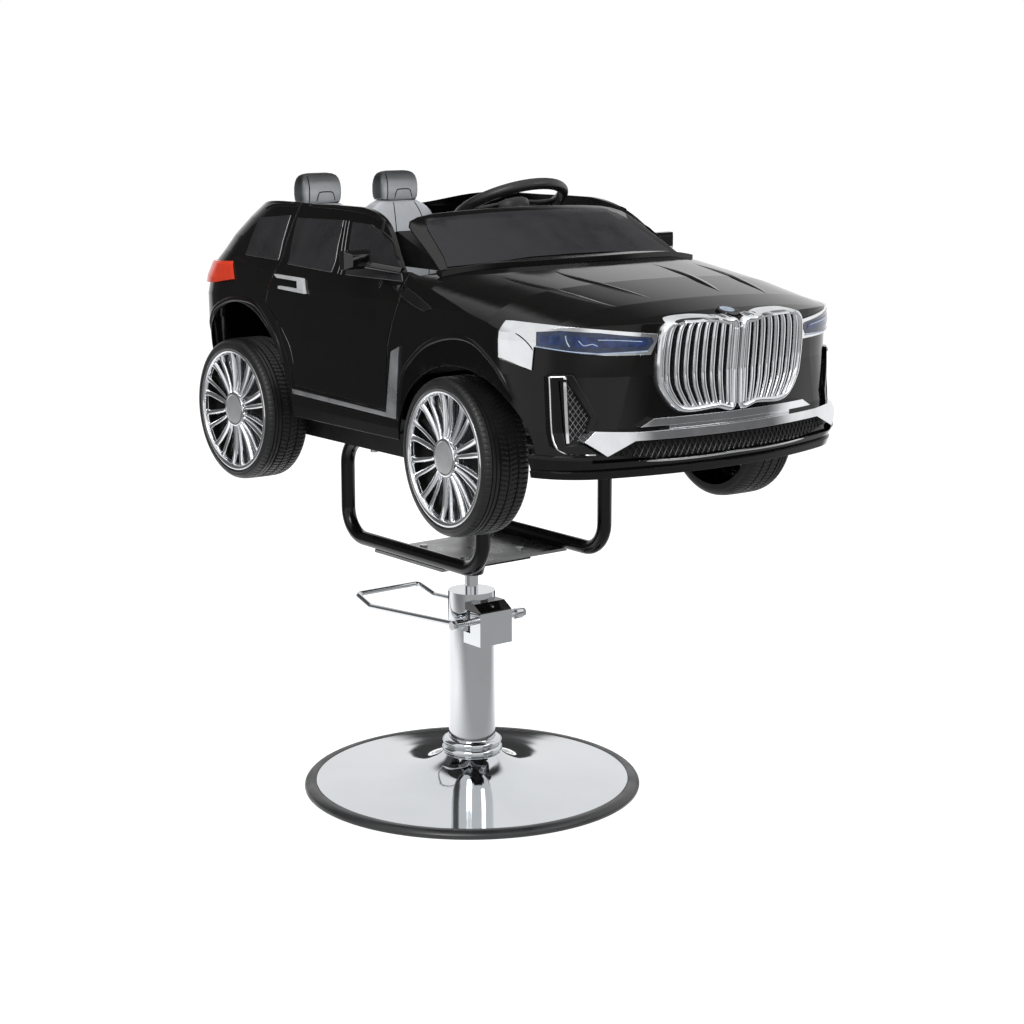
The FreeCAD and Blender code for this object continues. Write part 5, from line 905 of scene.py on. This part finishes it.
def build_seats():
    job = Build()
    for side in (1, -1):
        x = side * SEAT_X
        back = [(752, 78.0, 280.0, 334.0), (770, 78.0, 283.0, 337.0), (830, 78.0, 290.0, 346.0),
                (900, 78.0, 299.0, 355.0), (940, 77.5, 306.0, 358.0), (972, 77.0, 313.0, 359.8),
                (988, 75.5, 317.0, 360.0), (998, 71.0, 319.0, 360.0), (1007, 62.0, 321.0, 360.0),
                (1014, 51.0, 323.0, 359.0), (1019, 41.0, 326.0, 356.0), (1021, 33.0, 330.0, 352.0)]
        job.rows([ring_of(x, (a + b) / 2, z, w, (b - a) / 2) for z, w, a, b in back])
        head = [(1019.5, 33.0, 14.0), (1021.0, 39.5, 19.0), (1026.0, 42.0, 20.6), (1036.0, 43.2, 21.0),
                (1048.0, 43.0, 21.0), (1057.0, 41.8, 19.4), (1064.0, 39.5, 17.0), (1069.0, 35.5, 13.6),
                (1072.0, 29.0, 9.5), (1073.4, 20.0, 5.0)]
        job.rows([ring_of(x, HEAD_Y, z, w, d, 0.46) for z, w, d in head])
    job.rows([ring_of(0.0, HEAD_Y, z, w, d, 0.3) for z, w, d in
            ((930, 84, 12.0), (972, 84, 12.0), (985, 84, 11.0), (990, 83, 8.0), (992, 80, 3.0))])
    pan = [(736, 190, 64, 322), (740, 196, 62, 324), (752, 196, 62, 326), (764, 195, 66, 327),
            (773, 190, 76, 326), (778, 178, 92, 322)]
    job.rows([ring_of(0.0, (a + b) / 2, z, w, (b - a) / 2, 0.22, 96) for z, w, a, b in pan])
    job.make("seat_shell", "seat", "car", nodes=["seat_bench"], slot="seat_grey", sharp=62)
    tree = BVHTree.FromPolygons(job.verts, job.faces)
    lines = []
    for side in (1, -1):
        x = side * SEAT_X
        lines.append([mm(x - 39, 325, 1021.5), mm(x, 322, 1020.0), mm(x + 39, 325, 1021.5)])
        lines.append([mm(x - 30, 325, z) for z in (1023, 1036, 1050, 1060, 1068)])
        lines.append([mm(x + u, 325, z) for u, z in ((-15, 1024), (-11, 1037), (-6, 1040), (15, 1040),
                (20, 1037), (24, 1025))])
        for run in (((-17, 320, 1016), (-20, 300, 960), (-34, 290, 850), (-40, 285, 790)),
                ((30, 320, 1016), (42, 300, 990), (50, 300, 940), (38, 290, 850))):
            lines.append([mm(x + u, y, z) for u, y, z in run])
    job = Build()
    for line in lines:
        job.strip([cast(tree, p, FRONT) for p in curve(line, False, 0.004)], 0.0022, 0.0009, sink=0.0003)
    job.make("seat_seams", "seam", "car", slot="black_plastic")


# ---------------------------------------------------------------- steering wheel


def build_steering_wheel():
    """Thick round grip with three tapering spokes and a soft-edged hub, tilted as the column is."""
    job, ring, tube = Build(), 95.4, 9.8
    rows = []
    for k in range(120):
        a = math.tau * k / 120
        rows.append([mm((ring + tube * 0.98 * math.cos(b)) * math.cos(a),
                (ring + tube * 0.98 * math.cos(b)) * math.sin(a), tube * math.sin(b))
                for b in (math.tau * i / 20 for i in range(20))])
    job.rows(rows, closed=True)
    hub = [(20.0, -17.8), (33.0, -17.6), (34.0, -14.0), (34.0, -2.0), (33.2, 2.0), (31.0, 3.9), (27.4, 4.2),
            (25.6, 3.4), (25.4, -3.0)]
    job.rows(lathe([(r / 1000, z / 1000) for r, z in hub], 64), caps=False)
    for angle in (0.0, math.pi, math.pi / 2):
        rows = []
        for r, wide, z in ((24.0, 17.0, 0.6), (34.0, 15.0, 0.4), (50.0, 11.5, -0.4), (68.0, 10.5, -0.8),
                (82.0, 12.0, -0.2), (92.0, 14.5, 0.0)):
            row = []
            for k in range(24):
                b = math.tau * k / 24
                c, s = math.cos(b), math.sin(b)
                across = wide * math.copysign(abs(c) ** 0.6, c)
                up = z + 4.0 * math.copysign(abs(s) ** 0.6, s)
                row.append(mm(r * math.cos(angle) - across * math.sin(angle),
                        r * math.sin(angle) + across * math.cos(angle), up))
            rows.append(row)
        job.rows(rows)
    matrix = (Matrix.Translation(mm(84.0, -2.0, 1024.0)) @ Matrix.Rotation(math.radians(-COLUMN_TILT), 4, "X")
            @ Matrix.Rotation(math.radians(-REST_STEER / KINGPIN_RATIO), 4, "Z"))
    job.verts = [matrix @ v for v in job.verts]
    job.make("steering_grip", "grip", "steering", nodes=["steering_wheel"], slot="black_plastic", sharp=50)


# ---------------------------------------------------------------- camera


def camera():
    data = bpy.data.cameras.new("photo_camera")
    data.sensor_width, data.lens, data.clip_end = 36.0, 74.96, 60.0
    item = bpy.data.objects.new("photo_camera", data)
    SCENE.collection.objects.link(item)
    forward = Vector((0.60543, 0.77020, -0.20060)).normalized()
    right = forward.cross(Vector((0, 0, 1))).normalized()
    up = right.cross(forward)
    turn = Matrix((right, up, -forward)).transposed().to_4x4()
    item.matrix_world = Matrix.Translation((-2.2065, -2.9225, 1.2450)) @ turn
    SCENE.camera = item


# ---------------------------------------------------------------- stage and light


def seen_rays(tree):
    """1 for rays from the camera, a mirror or a lens, else 0."""
    path = add(tree, "LightPath")
    total = path.outputs["Is Camera Ray"]
    for name in ("Is Glossy Ray", "Is Transmission Ray"):
        total = maths(tree, "MAXIMUM", total, path.outputs[name])
    return total


def stage_plane(name, size_x, size_y, matrix, material):
    data = bpy.data.meshes.new(name)
    bm = bmesh.new()
    bmesh.ops.create_grid(bm, x_segments=2, y_segments=2, size=0.5)
    for v in bm.verts:
        v.co.x *= size_x
        v.co.y *= size_y
    bm.to_mesh(data)
    bm.free()
    data.materials.append(material)
    item = bpy.data.objects.new(name, data)
    item.matrix_world = matrix
    SCENE.collection.objects.link(item)
    return item


def build_floor():
    mat, tree, shader = new_material("floor_white")
    shader.inputs["Base Color"].default_value = (0.62, 0.62, 0.62, 1.0)
    shader.inputs["Roughness"].default_value = 0.9
    shader.inputs["Specular IOR Level"].default_value = 0.0
    glow = add(tree, "Emission", Color=(1, 1, 1, 1))
    tree.links.new(maths(tree, "MULTIPLY", seen_rays(tree), FLOOR_GLOW), glow.inputs["Strength"])
    total = add(tree, "AddShader")
    tree.links.new(shader.outputs["BSDF"], total.inputs[0])
    tree.links.new(glow.outputs["Emission"], total.inputs[1])
    tree.links.new(total.outputs["Shader"], tree.nodes["Material Output"].inputs["Surface"])
    stage_plane("floor", 80.0, 80.0, Matrix.Translation((0, 0, -0.0005)), mat)


def build_card(name, place, away, width, height, strength, edge_x, edge_y):
    """Soft-edged dark card, seen only in the object's gloss, as a studio flag is."""
    mat, tree, _ = new_material(name)
    coords = add(tree, "TexCoord")
    split = add(tree, "SeparateXYZ")
    tree.links.new(coords.outputs["Generated"], split.inputs["Vector"])
    total = None
    for axis, edge in (("X", edge_x), ("Y", edge_y)):
        for start, end in ((0.0, edge), (1.0, 1.0 - edge)):
            soft = add(tree, "MapRange")
            soft.interpolation_type = "SMOOTHSTEP"
            soft.inputs["From Min"].default_value, soft.inputs["From Max"].default_value = start, end
            tree.links.new(split.outputs[axis], soft.inputs["Value"])
            out = soft.outputs["Result"]
            total = out if total is None else maths(tree, "MULTIPLY", total, out)
    clear = add(tree, "BsdfTransparent")
    dark = add(tree, "Emission", Color=(1, 1, 1, 1), Strength=strength)
    mix = add(tree, "MixShader")
    tree.links.new(total, mix.inputs["Fac"])
    tree.links.new(clear.outputs["BSDF"], mix.inputs[1])
    tree.links.new(dark.outputs["Emission"], mix.inputs[2])
    tree.links.new(mix.outputs["Shader"], tree.nodes["Material Output"].inputs["Surface"])
    away = Vector(away).normalized()
    flat = away.cross(Vector((0, 0, 1) if abs(away.z) < 0.9 else (0, 1, 0))).normalized()
    turn = Matrix((flat, flat.cross(away), -away)).transposed().to_4x4()
    item = stage_plane(name, width, height, Matrix.Translation(Vector(place)) @ turn, mat)
    item.visible_camera = False
    item.visible_diffuse = False
    item.visible_shadow = False
    item.visible_transmission = False
    item.visible_volume_scatter = False


def build_world():
    scene_world = bpy.data.worlds.new("studio")
    SCENE.world = scene_world
    scene_world.use_nodes = True
    tree = scene_world.node_tree
    back = tree.nodes["Background"]
    mix = add(tree, "Mix")
    mix.data_type = "FLOAT"
    mix.inputs["A"].default_value = WORLD_LIGHT
    mix.inputs["B"].default_value = 1.0
    tree.links.new(seen_rays(tree), mix.inputs["Factor"])
    tree.links.new(mix.outputs["Result"], back.inputs["Strength"])
    back.inputs["Color"].default_value = (1, 1, 1, 1)


def lamp(name, place, aim, energy, width, height, seen=True):
    data = bpy.data.lights.new(name, "AREA")
    data.shape = "RECTANGLE"
    data.size, data.size_y, data.energy = width, height, energy
    item = bpy.data.objects.new(name, data)
    item.location = place
    item.visible_glossy = seen
    item.rotation_euler = (Vector(aim) - Vector(place)).to_track_quat("-Z", "Y").to_euler()
    SCENE.collection.objects.link(item)


build_base()
build_wheels()
build_front(surface("body_shell"))
build_sides()
build_hood()
build_shield()
build_seats()
build_steering_wheel()
camera()
build_floor()
build_card("card_behind", (0.66, 0.84, 2.12), (0.618, 0.786, 0), 3.4, 1.8, 0.05, 0.28, 0.34)
build_card("card_low", (0.66, 0.84, 0.075), (0.618, 0.786, 0), 2.4, 0.17, 0.05, 0.06, 0.10)
build_card("card_left", (-1.40, 1.75, 1.15), (-0.62, 0.785, 0), 2.6, 3.2, 0.15, 0.20, 0.22)
build_card("card_shoulder", (-0.80, 1.75, 2.30), (-0.30, 0.954, 0), 3.0, 2.4, 0.09, 0.24, 0.30)
build_card("card_right", (1.26, -2.45, 0.80), (0.574, -0.819, 0), 2.7, 1.7, 0.16, 0.20, 0.24)
build_card("card_near", (-2.05, -1.75, 0.70), (-0.76, -0.65, 0), 1.9, 1.1, 0.50, 0.36, 0.30)
build_card("floor_front", (-0.6, -2.25, 0.004), (0, 0, -1), 7.0, 5.2, 0.46, 0.16, 0.14)
build_card("floor_left", (-2.6, 1.30, 0.006), (0, 0, -1), 4.0, 4.4, 0.28, 0.2, 0.2)
build_world()
lamp("key", (-2.6, -1.8, 2.9), (0, 0, 0.8), 60.0, 1.6, 1.6)
lamp("fill", (1.6, -3.2, 1.9), (0, 0, 0.7), 26.0, 1.4, 1.8)
lamp("top", (0.3, 0.6, 3.4), (0, 0, 0.9), 50.0, 1.6, 2.2, seen=False)
SCENE.view_settings.view_transform = "Standard"
